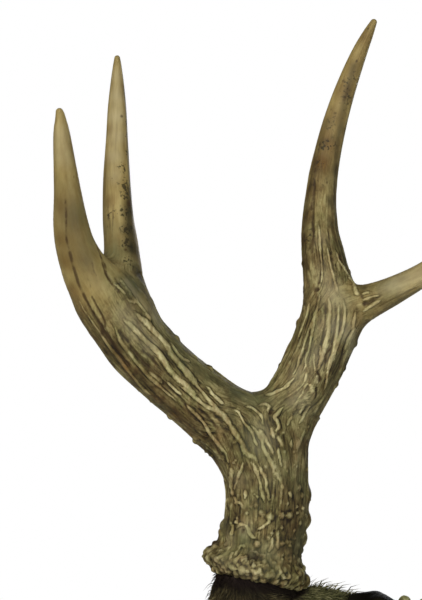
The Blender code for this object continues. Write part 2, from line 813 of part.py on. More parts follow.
def build_screw(name, x, z, size, hosts):
    """A countersunk wood screw driven from the wall side, and its hole in each host."""
    head, shank, length = size
    sink = head - shank
    profile = [(0.0, head), (0.4, head), (0.4 + sink, shank), (length - 2 * shank, shank), (length, 0.3)]
    screw = lathe(name, x, z, profile)
    reach = head + 1
    slot = box(name + "_slot", (x - reach, -0.45 * sink, z - 0.14 * head), (x + reach, 1, z + 0.14 * head))
    combine(screw, slot)
    grown = [(-1.0, head), *profile, (length + TOUCH_GAP, 0.3)]
    hole = lathe(name + "_hole", x, z, [(depth, radius + TOUCH_GAP) for depth, radius in grown])
    for host in hosts:
        combine(host, hole)
    return screw


def main():
    clear_scene()
    base = Antler().build()
    form = CapForm(base.centre(0), base.tangent(0))
    hide_cap = build_hide_cap(form)
    build_flap(form, hide_cap)
    for name, (x, y, z, radius) in HIDE_KNOBS.items():
        knob_solid(name, x, y, z, radius)
        combine(hide_cap, knob_solid(name + "_socket", x, y, z, radius + TOUCH_GAP))
    plaque = build_plaque()
    plate = build_keyhole_plate()
    half = PLATE_SCREW_SPACING / 2
    for name, z in {"plate_screw_upper": half, "plate_screw_lower": -half}.items():
        build_screw(name, 0, KEYHOLE_AT + z, PLATE_SCREW, [plate, plaque])
    for name, x in CAP_SCREWS.items():
        build_screw(name, x, CAP_SCREW_Z, CAP_SCREW, [plaque, hide_cap])


main()
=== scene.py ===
import math

import bmesh
import bpy
import numpy as np
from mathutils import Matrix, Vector, noise


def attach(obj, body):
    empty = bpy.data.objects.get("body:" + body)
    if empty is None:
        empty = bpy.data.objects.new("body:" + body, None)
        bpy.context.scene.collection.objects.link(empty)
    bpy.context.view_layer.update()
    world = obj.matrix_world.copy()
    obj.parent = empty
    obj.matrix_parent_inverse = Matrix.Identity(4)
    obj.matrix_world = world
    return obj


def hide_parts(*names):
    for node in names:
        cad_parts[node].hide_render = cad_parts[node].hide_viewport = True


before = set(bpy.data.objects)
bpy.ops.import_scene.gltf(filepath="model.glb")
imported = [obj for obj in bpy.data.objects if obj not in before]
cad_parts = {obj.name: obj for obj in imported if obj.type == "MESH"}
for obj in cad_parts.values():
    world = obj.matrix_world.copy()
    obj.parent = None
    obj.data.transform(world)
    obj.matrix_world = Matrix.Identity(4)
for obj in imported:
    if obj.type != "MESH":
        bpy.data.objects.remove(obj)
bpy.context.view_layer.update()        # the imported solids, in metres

mm = 0.001  # shapes are worked out in mm
towardsViewer = np.array([0.0, -1.0, 0.0])

# the camera looks level at the antler, square to the wall
view = {
    "pixel": 0.55,  # mm of the antler that one pixel of the 422 x 600 picture covers
    "size": (422, 600),
    "centre": (-56.2, 276.1),  # x and z in the middle of the picture
    "plane": -55.0,  # y of the antler's middle
    "distance": 2000.0,
    "sensor": 36.0,
}
eyePoint = np.array([view["centre"][0], view["plane"] - view["distance"], view["centre"][1]])


def unit(v):
    return v / np.linalg.norm(v, axis=-1, keepdims=True)


def smoothPath(stations, perSpan=5):  # a smooth curve through x, y, z, radius rows
    p = np.array(stations, float)
    p = np.vstack([2 * p[0] - p[1], p, 2 * p[-1] - p[-2]])
    rows = []
    for a, b, c, d in zip(p[:-3], p[1:-2], p[2:-1], p[3:]):
        for t in np.arange(perSpan) / perSpan:
            rows.append(
                b
                + 0.5 * t * (c - a)
                + t**2 * (a - 2.5 * b + 2 * c - 0.5 * d)
                + t**3 * (1.5 * (b - c) + 0.5 * (d - a))
            )
    rows.append(p[-2])
    return np.array(rows)


def outsideOf(points, path):  # how far each point is outside one round limb
    start, along = path[:-1], np.diff(path, axis=0)
    offset = points[:, None] - start[:, :3]
    share = (offset * along[:, :3]).sum(axis=2) / (along[:, :3] ** 2).sum(axis=1)
    share = np.clip(share, 0, 1)
    away = np.linalg.norm(offset - share[:, :, None] * along[:, :3], axis=2)
    return (away - start[:, 3] - share * along[:, 3]).min(axis=1)


def melted(points, paths, softness):  # limbs that melt together: 0 on the surface
    each = np.array([outsideOf(points, path) for path in paths])
    low = each.min(axis=0)
    return low - softness * np.log(np.exp((low - each) / softness).sum(axis=0))


def castOut(level, origins, directions, start=0.0, raised=0.0, steps=12):  # out to the surface
    travelled = np.full(len(directions), float(start))
    for _ in range(steps):
        travelled -= level(origins + travelled[:, None] * directions) - raised
    return origins + travelled[:, None] * directions


def noiseAt(points, offset=0.0):
    return np.array([noise.noise(Vector(p)) for p in points + offset])


def makeMesh(name, points, faces, attributes=None):
    data = bpy.data.meshes.new(name)
    data.from_pydata((points * mm).tolist(), [], [list(map(int, f)) for f in faces])
    data.shade_smooth()
    for key, values in (attributes or {}).items():
        kind = "FLOAT_VECTOR" if values.ndim == 2 else "FLOAT"
        layer = data.attributes.new(key, kind, "POINT")
        field = "vector" if values.ndim == 2 else "value"
        layer.data.foreach_set(field, values.astype(np.float32).ravel())
    made = bpy.data.objects.new(name, data)
    bpy.context.scene.collection.objects.link(made)
    return made


# what every material is painted with


def tone(red, green, blue):  # a screen colour, 0 to 255, as the shader wants it
    share = np.array([red, green, blue]) / 255
    return (*np.where(share < 0.04045, share / 12.92, ((share + 0.055) / 1.055) ** 2.4), 1.0)


class Paint:
    def __init__(self, name, roughness=0.6, metal=0.0, gloss=0.5):
        self.material = bpy.data.materials.new(name)
        self.material.use_nodes = True
        self.nodes = self.material.node_tree.nodes
        self.links = self.material.node_tree.links
        self.shader = self.nodes["Principled BSDF"]
        self.shader.inputs["Roughness"].default_value = roughness
        self.shader.inputs["Metallic"].default_value = metal
        self.shader.inputs["Specular IOR Level"].default_value = gloss

    def put(self, value, socket):
        if isinstance(value, bpy.types.NodeSocket):
            self.links.new(value, socket)
        else:
            socket.default_value = value

    def read(self, name, vector=False):  # a value stored at the mesh's points
        node = self.nodes.new("ShaderNodeAttribute")
        node.attribute_name = name
        return node.outputs["Vector" if vector else "Fac"]

    def place(self):  # where a point is on the unmoved piece, in metres
        return self.nodes.new("ShaderNodeTexCoord").outputs["Object"]

    def stretch(self, vector, scale):
        node = self.nodes.new("ShaderNodeVectorMath")
        node.operation = "MULTIPLY"
        self.put(vector, node.inputs[0])
        node.inputs[1].default_value = scale
        return node.outputs[0]

    def noise(self, vector, scale=1.0, detail=3.0, roughness=0.55, twist=0.0):
        node = self.nodes.new("ShaderNodeTexNoise")
        self.put(vector, node.inputs["Vector"])
        node.inputs["Scale"].default_value = scale
        node.inputs["Detail"].default_value = detail
        node.inputs["Roughness"].default_value = roughness
        node.inputs["Distortion"].default_value = twist
        return node.outputs["Fac"]

    def maths(self, operation, a, b=0.0, c=0.0):
        node = self.nodes.new("ShaderNodeMath")
        node.operation = operation
        for value, socket in zip((a, b, c), node.inputs):
            self.put(value, socket)
        return node.outputs[0]

    def spread(self, value, low, high, first=0.0, last=1.0):  # low..high becomes first..last
        node = self.nodes.new("ShaderNodeMapRange")
        self.put(value, node.inputs["Value"])
        for socket, number in zip(list(node.inputs)[1:5], (low, high, first, last)):
            socket.default_value = number
        return node.outputs["Result"]

    def ramp(self, value, stops):
        node = self.nodes.new("ShaderNodeValToRGB")
        self.put(value, node.inputs["Fac"])
        marks = node.color_ramp.elements
        while len(marks) < len(stops):
            marks.new(0.5)
        for mark, (spot, colour) in zip(marks, stops):
            mark.position = spot
            mark.color = tone(*colour)
        return node.outputs["Color"]

    def mix(self, share, first, second, blend="MIX"):
        node = self.nodes.new("ShaderNodeMix")
        node.data_type = "RGBA"
        node.blend_type = blend
        for value, index in ((share, 0), (first, 6), (second, 7)):
            self.put(value, node.inputs[index])
        return node.outputs[2]

    def bump(self, height, distance):
        node = self.nodes.new("ShaderNodeBump")
        node.inputs["Distance"].default_value = distance
        self.put(height, node.inputs["Height"])
        self.links.new(node.outputs[0], self.shader.inputs["Normal"])

    def colour(self, value):
        self.put(value, self.shader.inputs["Base Color"])

    def rough(self, value):
        self.put(value, self.shader.inputs["Roughness"])

    def wear(self, piece):
        piece.data.materials.clear()
        piece.data.materials.append(self.material)


# the antler

antler = {
    "burrAt": (-32.0, -55.0, 121.0),
    "limbs": {  # x, y, z from burrAt, and radius
        "base": [
            (0.5, 0, 0, 22),
            (2.5, 0, 10, 22),
            (4.5, -1, 23, 22),
            (6.5, -2, 39.5, 22),
            (6.5, -3, 56, 22),
            (4.5, -4, 70, 23),
            (2.5, -4, 80.5, 22),
        ],
        "left": [
            (0, -4, 77, 20),
            (-12, -6, 85.5, 19.5),
            (-24.5, -10, 95, 18.5),
            (-37.5, -15, 106, 17.5),
            (-49.5, -20, 116.5, 17.5),
            (-63.5, -25, 131, 17.5),
            (-74, -29, 146, 17.5),
            (-80, -32, 155, 16.5),
        ],
        "right": [
            (7, -4, 78.5, 19),
            (16, -5, 89.5, 16.5),
            (22.5, -6, 101.5, 16),
            (28.5, -7, 112.5, 16),
            (33.5, -8, 123.5, 16),
            (38, -9, 134.5, 16),
            (42.5, -9, 145, 14.5),
        ],
        "outerTine": [
            (-80, -32, 155, 15),
            (-89.5, -36, 167, 13.5),
            (-96.5, -41, 182, 11),
            (-99.5, -46, 195.5, 9.5),
            (-101, -50, 211.5, 7.5),
            (-102.5, -54, 227.5, 6),
            (-104, -56, 243.5, 4.5),
            (-104.7, -57, 253, 2.7),
            (-105.2, -57, 255.7, 2.0),
        ],
        "backTine": [
            (-77.5, -30, 155, 13),
            (-73, -22, 167.5, 10.5),
            (-73, -14, 182.5, 9.5),
            (-75, -8, 199, 8.5),
            (-76, -2, 221, 7.5),
            (-76, 3, 243, 6.1),
            (-76, 6, 262.5, 5.0),
            (-76, 8, 279.5, 3.1),
            (-76, 8, 288.6, 1.6),
        ],
        "tallTine": [
            (42, -9, 145, 14),
            (40.5, -8, 160.5, 13.5),
            (37.5, -4, 177, 12),
            (35.5, 1, 193.5, 10),
            (36.5, 6, 213, 8.5),
            (39.5, 10, 232.5, 7.5),
            (44.5, 12, 253.5, 6.7),
            (51, 12, 274, 5.5),
            (57.5, 10, 291, 4.3),
            (62.5, 8, 302, 3),
            (65.6, 7, 308.4, 1.8),
        ],
        "sideTine": [
            (42.5, -9, 146.5, 12.5),
            (52, -12, 150, 11),
            (65, -17, 155.5, 8.8),
            (77.5, -23, 161.5, 7.4),
            (90, -30, 168.5, 6.3),
            (102, -37, 178, 5),
            (111, -43, 188.5, 3.8),
            (116, -47, 199, 2.2),
            (117.5, -48, 203, 1),
        ],
    },
    "webs": [  # short limbs that fill the forks
        [(2.5, -4, 76, 22), (4.5, -5, 86, 14.3)],
        [(-73, -27, 152, 16), (-74, -23, 160, 12.6), (-74, -17, 167, 9.6)],
    ],
    "melt": 2.6,  # how softly they run into each other
    "forks": {  # the limb on the viewer's right of each fork, then the left one
        "base": ("right", "left"),
        "left": ("backTine", "outerTine"),
        "right": ("sideTine", "tallTine"),
    },
    "leadOut": {  # how far past its fork each limb's rings stand square to it
        "right": 36,
        "left": 40,
        "backTine": 26,
        "outerTine": 26,
        "sideTine": 30,
        "tallTine": 28,
    },
    "columns": 240,  # points round the beam
    "saddles": {240: 55, 176: 23},  # points over the crotch, by the loop that splits
    "ringStep": 1.03,  # mm from ring to ring
    "tineStep": 1.45,
    "tipLifts": (18, 36, 54, 72),  # degrees of the rings round a tip
    "nodes": [
        "antler_base",
        "left_branch",
        "right_branch",
        "left_outer_tine",
        "left_back_tine",
        "right_tall_tine",
        "right_side_tine",
    ],
}

relief = {
    "ridgeFade": {  # how strong the ridges are along each limb: mm along it, strength
        "base": [(0, 0.7), (20, 0.8), (50, 1.0)],
        "left": [(0, 1.0), (60, 0.95), (90, 0.8), (105, 0.5)],
        "right": [(0, 1.0), (73, 0.9)],
        "outerTine": [(0, 0.5), (14, 0.2), (50, 0.05)],
        "backTine": [(0, 0.5), (20, 0.4), (32, 0.12), (60, 0.05)],
        "tallTine": [(0, 0.65), (30, 0.6), (70, 0.4), (110, 0.15), (150, 0.08)],
        "sideTine": [(0, 0.5), (40, 0.3), (70, 0.12)],
    },
    "ridge": 0.9,  # heights in mm of what noise makes
    "fine": 0.16,
    "crack": 0.4,
    "swell": 0.7,
    "knobs": 1.0,
    "ridgeLines": (6.2, 0.2),  # how far apart they are, and how wide
    "fineLines": (2.9, 0.17),
    "crackLines": (7.5, 0.07),
    "wander": 3.0,
    "collar": [  # the burr's form in mm: the least, and what its left adds
        (5.0, 2.6),  # how far its crest stands out
        (5.5, 4.5),  # how far above the rim the crest lies
        (8.5, 4.0),  # how far the form reaches down from the crest
        (11.5, -3.0),  # and how far up
    ],
    "rim": (0.0, 0.15, 2.3),  # where its lower rim lies: all round, up at the left, up in front
    "footDepth": 2.6,  # how far the beam steps in below the rim
    "lumps": [  # mm up the beam, degrees round from the viewer, radius, height
        (17, -92, 7, 4.8),
        (9, -86, 6.5, 2.8),
        (6, 86, 6, 2.2),
        (24, -96, 4.6, 3.4),
        (29, -80, 6.5, 3.2),
        (26, -58, 5, 1.6),
        (28, 88, 5, 1.8),
        (37, 84, 5, 2.0),
        (49, 86, 6, 2.2),
        (41, 60, 4.5, 1.4),
        (44, -70, 5, 1.4),
        (33, 10, 5, 1.4),
        (40, 150, 6, 2.4),
        (24, 190, 6, 2.6),
        (52, 205, 6, 2.0),
    ],
    "wormSize": (0.98, 1.0),  # half width and height
    "grooveSize": (0.9, 0.7),  # half width and depth
    "pitDepth": 1.1,
    "shaken": ((3.6, 0.7), (1.5, 0.35)),  # the drawn lines' wobble: size and reach in mm
    "looseBeyondTrunk": 0.3,  # how much of it the other limbs have
    "pearls": 150,  # beads scattered up the beam
    "rimBeads": 34,  # beads in one row round the rim
    "rimRows": ((0.4, 3.0), (4.0, 6.8)),  # the least and most that a row's beads lie above it
}

# ridges, grooves, beads and tints seen from the front, in the picture's pixels
broadRidges = [  # half width in mm and the line
    (1.3, [(113, 323), (118, 334), (124, 346), (130, 354), (136, 362), (148, 376), (160, 387),
           (174, 398), (185, 411)]),
    (1.7, [(121, 316), (127, 323), (134, 329), (148, 342), (160, 354), (168, 366), (176, 377),
           (188, 387), (199, 397)]),
    (2.2, [(131, 308), (138, 315), (145, 322), (158, 336), (166, 346), (174, 357), (185, 370),
           (195, 383), (206, 397)]),
    (0.9, [(75, 294), (83, 308), (93, 322), (103, 337), (112, 350), (122, 362)]),
    (1.0, [(148, 371), (156, 378), (163, 384)]),
    (1.2, [(190, 380), (196, 385), (202, 391), (211, 402), (220, 411)]),
    (1.0, [(185, 404), (194, 413), (203, 421)]),
    (1.6, [(205, 407), (213, 408), (219, 412), (225, 417), (232, 429), (237, 437), (242, 444),
           (248, 453), (255, 458), (258, 463)]),
    (1.5, [(264, 448), (267, 455), (272, 462), (274, 468), (274, 472)]),
    (0.7, [(319, 222), (320, 242), (321, 258), (322, 272), (322, 286)]),
    (0.9, [(321, 292), (318, 306), (314, 322), (311, 340), (307, 358)]),
    (0.8, [(326, 236), (328, 254), (331, 270), (336, 286), (339, 300)]),
    (1.1, [(339, 302), (338, 318), (336, 336), (332, 356), (328, 374)]),
    (0.8, [(334, 246), (338, 258), (344, 270), (351, 280), (356, 288), (360, 296)]),
    (1.3, [(328, 296), (330, 310), (329, 326), (326, 342), (321, 360), (316, 376)]),
    (0.8, [(317, 306), (313, 318), (309, 330), (305, 342), (300, 356), (295, 370)]),
    (1.0, [(343, 298), (345, 310), (343, 326), (339, 340), (335, 352), (333, 366)]),
    (0.9, [(357, 306), (355, 318), (352, 330), (347, 342), (343, 354)]),
    (0.8, [(310, 300), (307, 314), (302, 328), (298, 340)]),
    (0.8, [(335, 356), (333, 353), (330, 358), (329, 364), (328, 370), (327, 376), (326, 382),
           (325, 388), (323, 393)]),
    (0.8, [(328, 341), (326, 347), (324, 353), (323, 358), (322, 363)]),
    (0.8, [(313, 350), (314, 356), (314, 362), (314, 369), (315, 374)]),
    (0.8, [(317, 375), (318, 379), (316, 384)]),
    (0.8, [(314, 398), (314, 394), (312, 390), (310, 384), (307, 384), (304, 388), (302, 393),
           (299, 398), (295, 404), (292, 408)]),
    (0.8, [(305, 394), (306, 398), (308, 402), (311, 403)]),
    (0.8, [(302, 403), (304, 406), (301, 411), (299, 414)]),
    (0.8, [(310, 405), (307, 410), (304, 414), (302, 419), (298, 424)]),
    (0.7, [(306, 372), (306, 377), (305, 382)]),
    (0.7, [(300, 360), (297, 367), (294, 373), (292, 376)]),
    (0.7, [(308, 350), (306, 358), (305, 366), (302, 374)]),
    (0.7, [(319, 344), (320, 351), (319, 357)]),
    (1.7, [(233, 467), (231, 478), (232, 489)]),
    (1.2, [(236, 529), (239, 526), (243, 524), (247, 527), (250, 533), (254, 538), (257, 543)]),
]
valleys = [  # half width in mm, depth and the line: soft brown furrows
    (1.4, 0.7, [(83, 297), (90, 309), (97, 320), (103, 331), (110, 341), (117, 352), (126, 362),
                (135, 373)]),
    (1.3, 0.5, [(135, 373), (145, 384), (155, 394), (165, 404), (176, 415), (188, 425)]),
    (1.2, 0.6, [(118, 329), (124, 337), (129, 343)]),
    (2.4, 0.8, [(129, 343), (134, 353), (142, 361), (151, 370)]),
    (1.5, 0.7, [(151, 370), (160, 380), (170, 389), (180, 398), (190, 409)]),
    (1.0, 0.6, [(141, 349), (146, 353), (151, 357), (157, 364), (163, 372)]),
    (0.9, 0.5, [(134, 318), (138, 322), (143, 326)]),
    (1.2, 0.6, [(154, 343), (160, 350), (165, 356), (172, 364), (178, 372)]),
    (1.1, 0.5, [(151, 316), (158, 326), (163, 333), (168, 340), (174, 352), (181, 360)]),
    (1.2, 0.6, [(196, 404), (205, 413), (212, 422), (219, 431)]),
    (1.0, 0.5, [(214, 413), (221, 421), (227, 430), (233, 441)]),
    (0.9, 0.6, [(315, 176), (314, 200), (313, 222), (313, 244)]),
    (0.8, 0.7, [(322, 230), (323, 250), (321, 270), (319, 290)]),
    (0.8, 0.6, [(328, 226), (330, 246), (333, 264), (336, 276)]),
    (0.9, 0.9, [(325, 298), (326, 312), (324, 330), (319, 350), (313, 366)]),
    (0.9, 0.9, [(335, 298), (336, 314), (334, 332), (331, 348)]),
    (0.9, 0.8, [(341, 302), (341, 320), (338, 338)]),
    (0.9, 0.8, [(311, 306), (307, 324), (302, 340), (297, 354)]),
    (0.7, 1.0, [(319, 357), (318, 365), (318, 372), (319, 380)]),
    (0.7, 0.9, [(326, 357), (325, 365), (324, 372)]),
    (0.8, 1.0, [(315, 386), (316, 393), (314, 400)]),
    (0.7, 0.9, [(306, 389), (308, 393), (309, 398)]),
    (0.6, 0.8, [(303, 345), (304, 352), (302, 360), (299, 368)]),
    (0.7, 0.8, [(310, 344), (310, 352), (309, 361), (309, 370)]),
    (0.7, 0.8, [(300, 400), (297, 406), (296, 413)]),
    (0.7, 0.8, [(306, 405), (303, 411), (300, 417)]),
    (0.9, 1.1, [(249, 551), (249, 558), (250, 565)]),
    (0.9, 1.1, [(255, 552), (256, 558), (256, 565)]),
    (0.7, 0.9, [(260, 554), (261, 560), (261, 566)]),
    (1.4, 0.8, [(353, 326), (345, 346), (339, 366), (331, 386)]),
    (1.2, 0.7, [(363, 298), (368, 303), (375, 299), (386, 292)]),
    (1.3, 0.4, [(372, 313), (382, 305), (397, 298), (413, 290), (421, 286)]),
]
worms = [  # narrow winding ridges
    [(249, 460), (255, 468), (258, 474), (260, 482), (262, 490), (263, 496), (265, 503)],
    [(257, 462), (262, 471), (266, 480), (267, 488), (269, 497), (271, 502)],
    [(232, 410), (238, 413), (242, 420), (247, 427), (252, 433), (255, 442), (258, 447)],
    [(250, 423), (254, 428), (258, 433), (262, 440), (264, 448), (267, 455), (272, 462), (274, 468),
     (274, 472), (279, 479), (283, 487)],
    [(258, 427), (262, 433), (267, 442), (271, 448), (274, 456)],
    [(257, 406), (263, 405), (269, 407), (268, 410), (268, 414)],
    [(285, 404), (282, 408), (277, 414), (274, 417), (277, 422), (278, 427), (274, 433)],
    [(292, 383), (287, 387), (280, 390), (276, 392), (271, 395), (263, 396)],
    [(292, 412), (292, 417), (289, 422), (287, 426)],
    [(292, 438), (290, 443), (291, 447)],
    [(277, 438), (280, 442), (282, 446)],
    [(277, 446), (279, 453), (280, 460), (282, 467)],
    [(205, 427), (210, 433), (216, 439), (222, 447), (226, 453), (228, 460), (233, 467)],
    [(229, 464), (232, 472), (230, 479), (232, 489), (233, 494)],
    [(244, 462), (242, 470), (238, 478), (237, 483), (233, 491)],
    [(205, 385), (209, 389), (213, 395), (217, 398), (222, 401)],
    [(243, 407), (250, 407), (257, 412), (262, 418), (263, 422), (263, 427)],
    [(271, 427), (272, 432), (274, 438)],
    [(233, 496), (237, 501), (235, 505)],
    [(237, 501), (241, 504), (244, 507)],
    [(245, 490), (246, 494), (245, 499)],
    [(253, 492), (257, 496), (257, 500)],
    [(229, 517), (230, 522), (233, 526), (232, 532), (229, 535)],
    [(236, 557), (237, 552), (240, 547), (243, 546), (245, 547)],
    [(229, 560), (231, 555), (234, 551)],
    [(250, 552), (253, 552), (257, 553), (260, 557)],
    [(246, 555), (246, 563)],
    [(242, 555), (242, 562)],
    [(268, 519), (267, 524), (262, 528), (255, 530)],
    [(234, 522), (239, 522)],
    [(280, 485), (283, 488)],
    [(289, 491), (291, 496)],
    [(277, 527), (278, 538), (277, 551)],
    [(272, 534), (272, 543), (268, 553)],
    [(169, 340), (175, 351), (182, 359), (191, 362)],
    [(192, 412), (200, 419), (206, 427), (211, 436), (220, 445), (226, 455)],
    [(207, 389), (215, 397), (224, 405)],
    [(179, 386), (189, 392), (200, 402), (207, 407), (217, 411)],
    [(166, 380), (175, 389), (182, 395)],
    [(107, 345), (115, 354), (125, 366), (133, 377), (143, 388), (153, 397)],
    [(125, 297), (132, 302), (137, 301), (135, 296)],
    [(112, 282), (120, 289), (125, 294)],
    [(119, 279), (125, 285), (127, 291)],
    [(144, 311), (151, 320)],
    [(128, 290), (133, 297), (140, 305), (147, 314)],
    [(124, 283), (127, 289), (131, 294)],
    [(347, 277), (352, 282), (357, 292), (360, 295)],
    [(362, 295), (366, 293), (369, 294)],
    [(362, 301), (370, 297), (381, 295)],
    [(362, 312), (370, 307), (382, 299)],
    [(297, 376), (290, 382), (281, 390), (272, 394), (262, 395)],
]
grooves = [  # narrow cuts
    [(80, 290), (86, 302), (92, 312), (99, 321), (104, 330), (109, 336), (115, 346)],
    [(92, 296), (96, 305), (100, 312), (104, 321)],
    [(219, 423), (225, 429), (232, 437)],
    [(213, 443), (220, 452), (225, 455)],
    [(318, 370), (319, 382)],
    [(363, 304), (367, 305)],
    [(361, 297), (364, 296)],
    [(104, 268), (108, 276), (114, 284)],
    [(114, 276), (120, 285), (123, 290)],
    [(270, 410), (274, 411)],
    [(263, 431), (267, 437)],
]
pits = [  # x, y and radius in mm
    (317.5, 289.5, 1.3),
    (318.5, 379, 1.4),
    (103, 332, 1.6),
    (252, 557, 1.8),
    (257.5, 557.5, 1.6),
    (251, 563, 1.6),
    (256, 564, 1.3),
    (243, 530, 1.5),
    (270, 413, 1.4),
    (234, 530, 1.2),
    (275, 531, 1.1),
]
pearls = [  # x, y and radius in mm
    (261, 512, 1.5), (269, 517, 2.0), (282, 515, 1.8), (289, 516, 2.1), (299, 487, 1.5),
    (302, 496, 1.5), (297, 512, 1.2), (282, 527, 1.2), (257, 545, 1.8), (282, 544, 1.4),
    (287, 542, 1.2), (290, 541, 1.0), (290, 546, 1.2), (290, 561, 1.2), (304, 542, 1.5),
    (302, 538, 1.4), (265, 562, 1.6), (217, 560, 1.9), (225, 567, 1.8), (233, 567, 2.2),
    (242, 570, 2.6), (236, 577, 1.5), (255, 573, 2.1), (260, 571, 1.7), (268, 575, 2.4),
    (249, 578, 1.4), (252, 580, 1.3), (256, 582, 1.5), (277, 582, 1.6), (284, 577, 1.4),
    (288, 577, 1.4), (273, 574, 1.4), (283, 585, 1.6), (287, 588, 1.5), (291, 585, 1.2),
    (287, 471, 1.1), (297, 467, 0.9), (293, 452, 1.0), (308, 427, 1.0), (247, 513, 1.1),
    (238, 518, 1.1), (233, 493, 1.7), (298, 560, 1.8), (303, 567, 2.0), (299, 574, 1.8),
    (210, 552, 2.0), (214, 546, 1.8), (208, 558, 1.8), (221, 551, 1.4), (226, 545, 1.3),
    (306, 443, 1.2), (300, 524, 1.4), (303, 508, 1.3), (294, 530, 1.1),
]
edgeBumps = [  # x, y, radius and height in mm: low bumps on the outline
    (211, 368, 3.0, 1.5), (178, 337, 2.8, 0.9), (281, 365, 2.6, 1.3), (170, 417, 3.0, 1.2),
    (195, 441, 2.6, 0.9), (139, 390, 2.6, 0.7), (370, 318, 3.0, 0.9), (355, 345, 3.4, 1.2),
    (343, 369, 3.6, 1.4), (338, 386, 2.8, 1.0), (327, 399, 2.6, 0.9), (300, 264, 2.6, 0.8),
    (298, 292, 2.4, 0.6), (297, 322, 3.0, 1.1), (290, 347, 3.0, 1.0), (349, 272, 2.4, 0.7),
    (146, 311, 2.6, 0.7), (163, 327, 2.6, 0.8), (196, 357, 2.6, 0.9), (126, 371, 2.4, 0.7),
    (110, 353, 2.4, 0.6), (151, 402, 2.6, 0.8), (318, 413, 2.4, 0.9), (306, 432, 2.4, 0.9),
]
shades = [  # tints laid along lines: which, half width in mm, strength and the line; the dark ones are mostly painted shade along tine edges and undersides and in the main crotch
    ("deep", 2.2, 0.6, [(354, 66), (349, 84), (345, 100), (342, 115), (339, 132), (337, 150),
                        (336, 170), (335, 190)]),
    ("deep", 2.4, 0.6, [(335, 190), (335, 210), (337, 230), (341, 250), (347, 268), (355, 282),
                        (364, 288)]),
    ("shadeAndDarkTone", 3.0, 0.5, [(326, 122), (319, 142), (315, 160), (311, 180), (307, 200), (304, 225),
                        (302, 250), (301, 290)]),
    ("deep", 1.8, 0.8, [(125, 86), (126, 100), (128, 130), (129, 160), (130, 180), (131, 200)]),
    ("deep", 4.4, 1.0, [(130, 192), (130, 212), (131, 230), (133, 248)]),
    ("deep", 4.4, 0.45, [(133, 250), (137, 268), (143, 286), (152, 302)]),
    ("deep", 2.2, 0.6, [(374, 318), (385, 311), (400, 301), (421, 289)]),
    ("deep", 2.6, 0.5, [(368, 322), (357, 338), (349, 356), (343, 372)]),
    ("shadeAndDarkTone", 2.4, 0.3, [(366, 289), (376, 286), (390, 283), (405, 278)]),
    ("deep", 3.2, 0.55, [(339, 360), (335, 373), (331, 386), (326, 398), (320, 410)]),
    ("shadeAndDarkTone", 4.0, 0.5, [(213, 377), (224, 387), (238, 393), (252, 394)]),
    ("pale", 2.2, 0.5, [(126, 281), (132, 289), (140, 299), (150, 312), (160, 326)]),
]
streaks = [  # colour alone: half width in mm, strength and the line
    (0.8, 0.7, [(65, 200), (66, 212), (66, 226), (67, 240), (70, 252)]),
    (1.1, 0.95, [(70, 252), (72, 262), (75, 272), (80, 287), (86, 300), (92, 311), (98, 320)]),
    (1.8, 1.0, [(94, 316), (99, 322), (104, 331), (109, 337), (114, 345), (120, 353)]),
    (0.8, 0.8, [(92, 296), (96, 305), (100, 312), (104, 321), (106, 328)]),
    (0.7, 0.5, [(92, 262), (94, 270), (96, 276)]),
    (0.7, 0.45, [(87, 278), (90, 286), (91, 292)]),
    (1.2, 0.6, [(95, 240), (99, 252), (104, 264), (107, 272)]),
    (1.0, 0.8, [(102, 258), (104, 268), (108, 278), (114, 287), (120, 293)]),
    (0.7, 0.5, [(108, 200), (108, 214), (107, 226)]),
    (0.6, 0.4, [(113, 206), (113, 220), (112, 236)]),
    (0.8, 0.35, [(110, 222), (110, 232), (109, 244)]),
    (1.3, 0.6, [(316, 160), (315, 178), (314, 192), (311, 208)]),
    (1.0, 0.5, [(320, 145), (319, 152), (317, 158)]),
    (1.0, 0.6, [(313, 228), (313, 238), (312, 252)]),
    (1.0, 0.55, [(303, 226), (303, 250), (304, 280), (303, 300)]),
    (0.9, 0.6, [(320, 255), (321, 270), (319, 284)]),
    (1.2, 0.45, [(351, 80), (347, 92), (344, 100)]),
    (0.9, 0.5, [(338, 160), (334, 185), (333, 215), (336, 240)]),
    (1.8, 0.5, [(121, 355), (131, 367), (141, 377), (153, 388), (165, 400), (178, 412), (191, 421),
                (201, 431)]),
    (1.3, 0.5, [(136, 352), (144, 362), (153, 372), (161, 381)]),
    (1.2, 0.5, [(215, 425), (221, 431), (228, 441), (232, 450)]),
    (1.1, 0.5, [(210, 441), (217, 450), (223, 458)]),
    (0.9, 0.55, [(330, 340), (332, 347), (327, 354), (325, 362)]),
    (0.9, 0.5, [(310, 322), (309, 337), (306, 350)]),
    (1.2, 0.6, [(318, 368), (319, 381)]),
    (1.0, 0.5, [(356, 332), (351, 343)]),
]
stains = [  # colour alone: x, y, radius in mm and strength
    (74, 178, 0.7, 0.5), (70, 143, 0.7, 0.3), (103, 332, 2.0, 1.0), (126, 250, 1.0, 0.9),
    (133, 266, 0.8, 0.6), (126, 275, 0.9, 0.9), (129, 204, 2.0, 1.0), (122, 116, 1.1, 0.8),
    (111, 212, 1.1, 0.4), (368, 29, 0.6, 0.8), (357, 60, 0.7, 0.9), (344, 80, 1.2, 0.7),
    (356, 80, 1.0, 0.6), (335, 114, 0.9, 0.7), (331, 110, 0.8, 0.5), (335, 143, 0.8, 0.6),
    (327, 183, 0.7, 0.8), (306, 441, 1.6, 0.9), (306, 451, 1.2, 0.7), (290, 520, 2.2, 0.4),
    (290, 552, 2.4, 0.5), (213, 540, 2.4, 0.9), (210, 543, 1.8, 0.9), (317, 290, 1.6, 1.0),
    (319, 379, 1.6, 1.0), (253, 558, 3.0, 0.2), (243, 531, 1.6, 0.6), (270, 413, 1.8, 0.7),
    (364, 304, 1.2, 0.8), (362, 297, 1.0, 0.7),
]
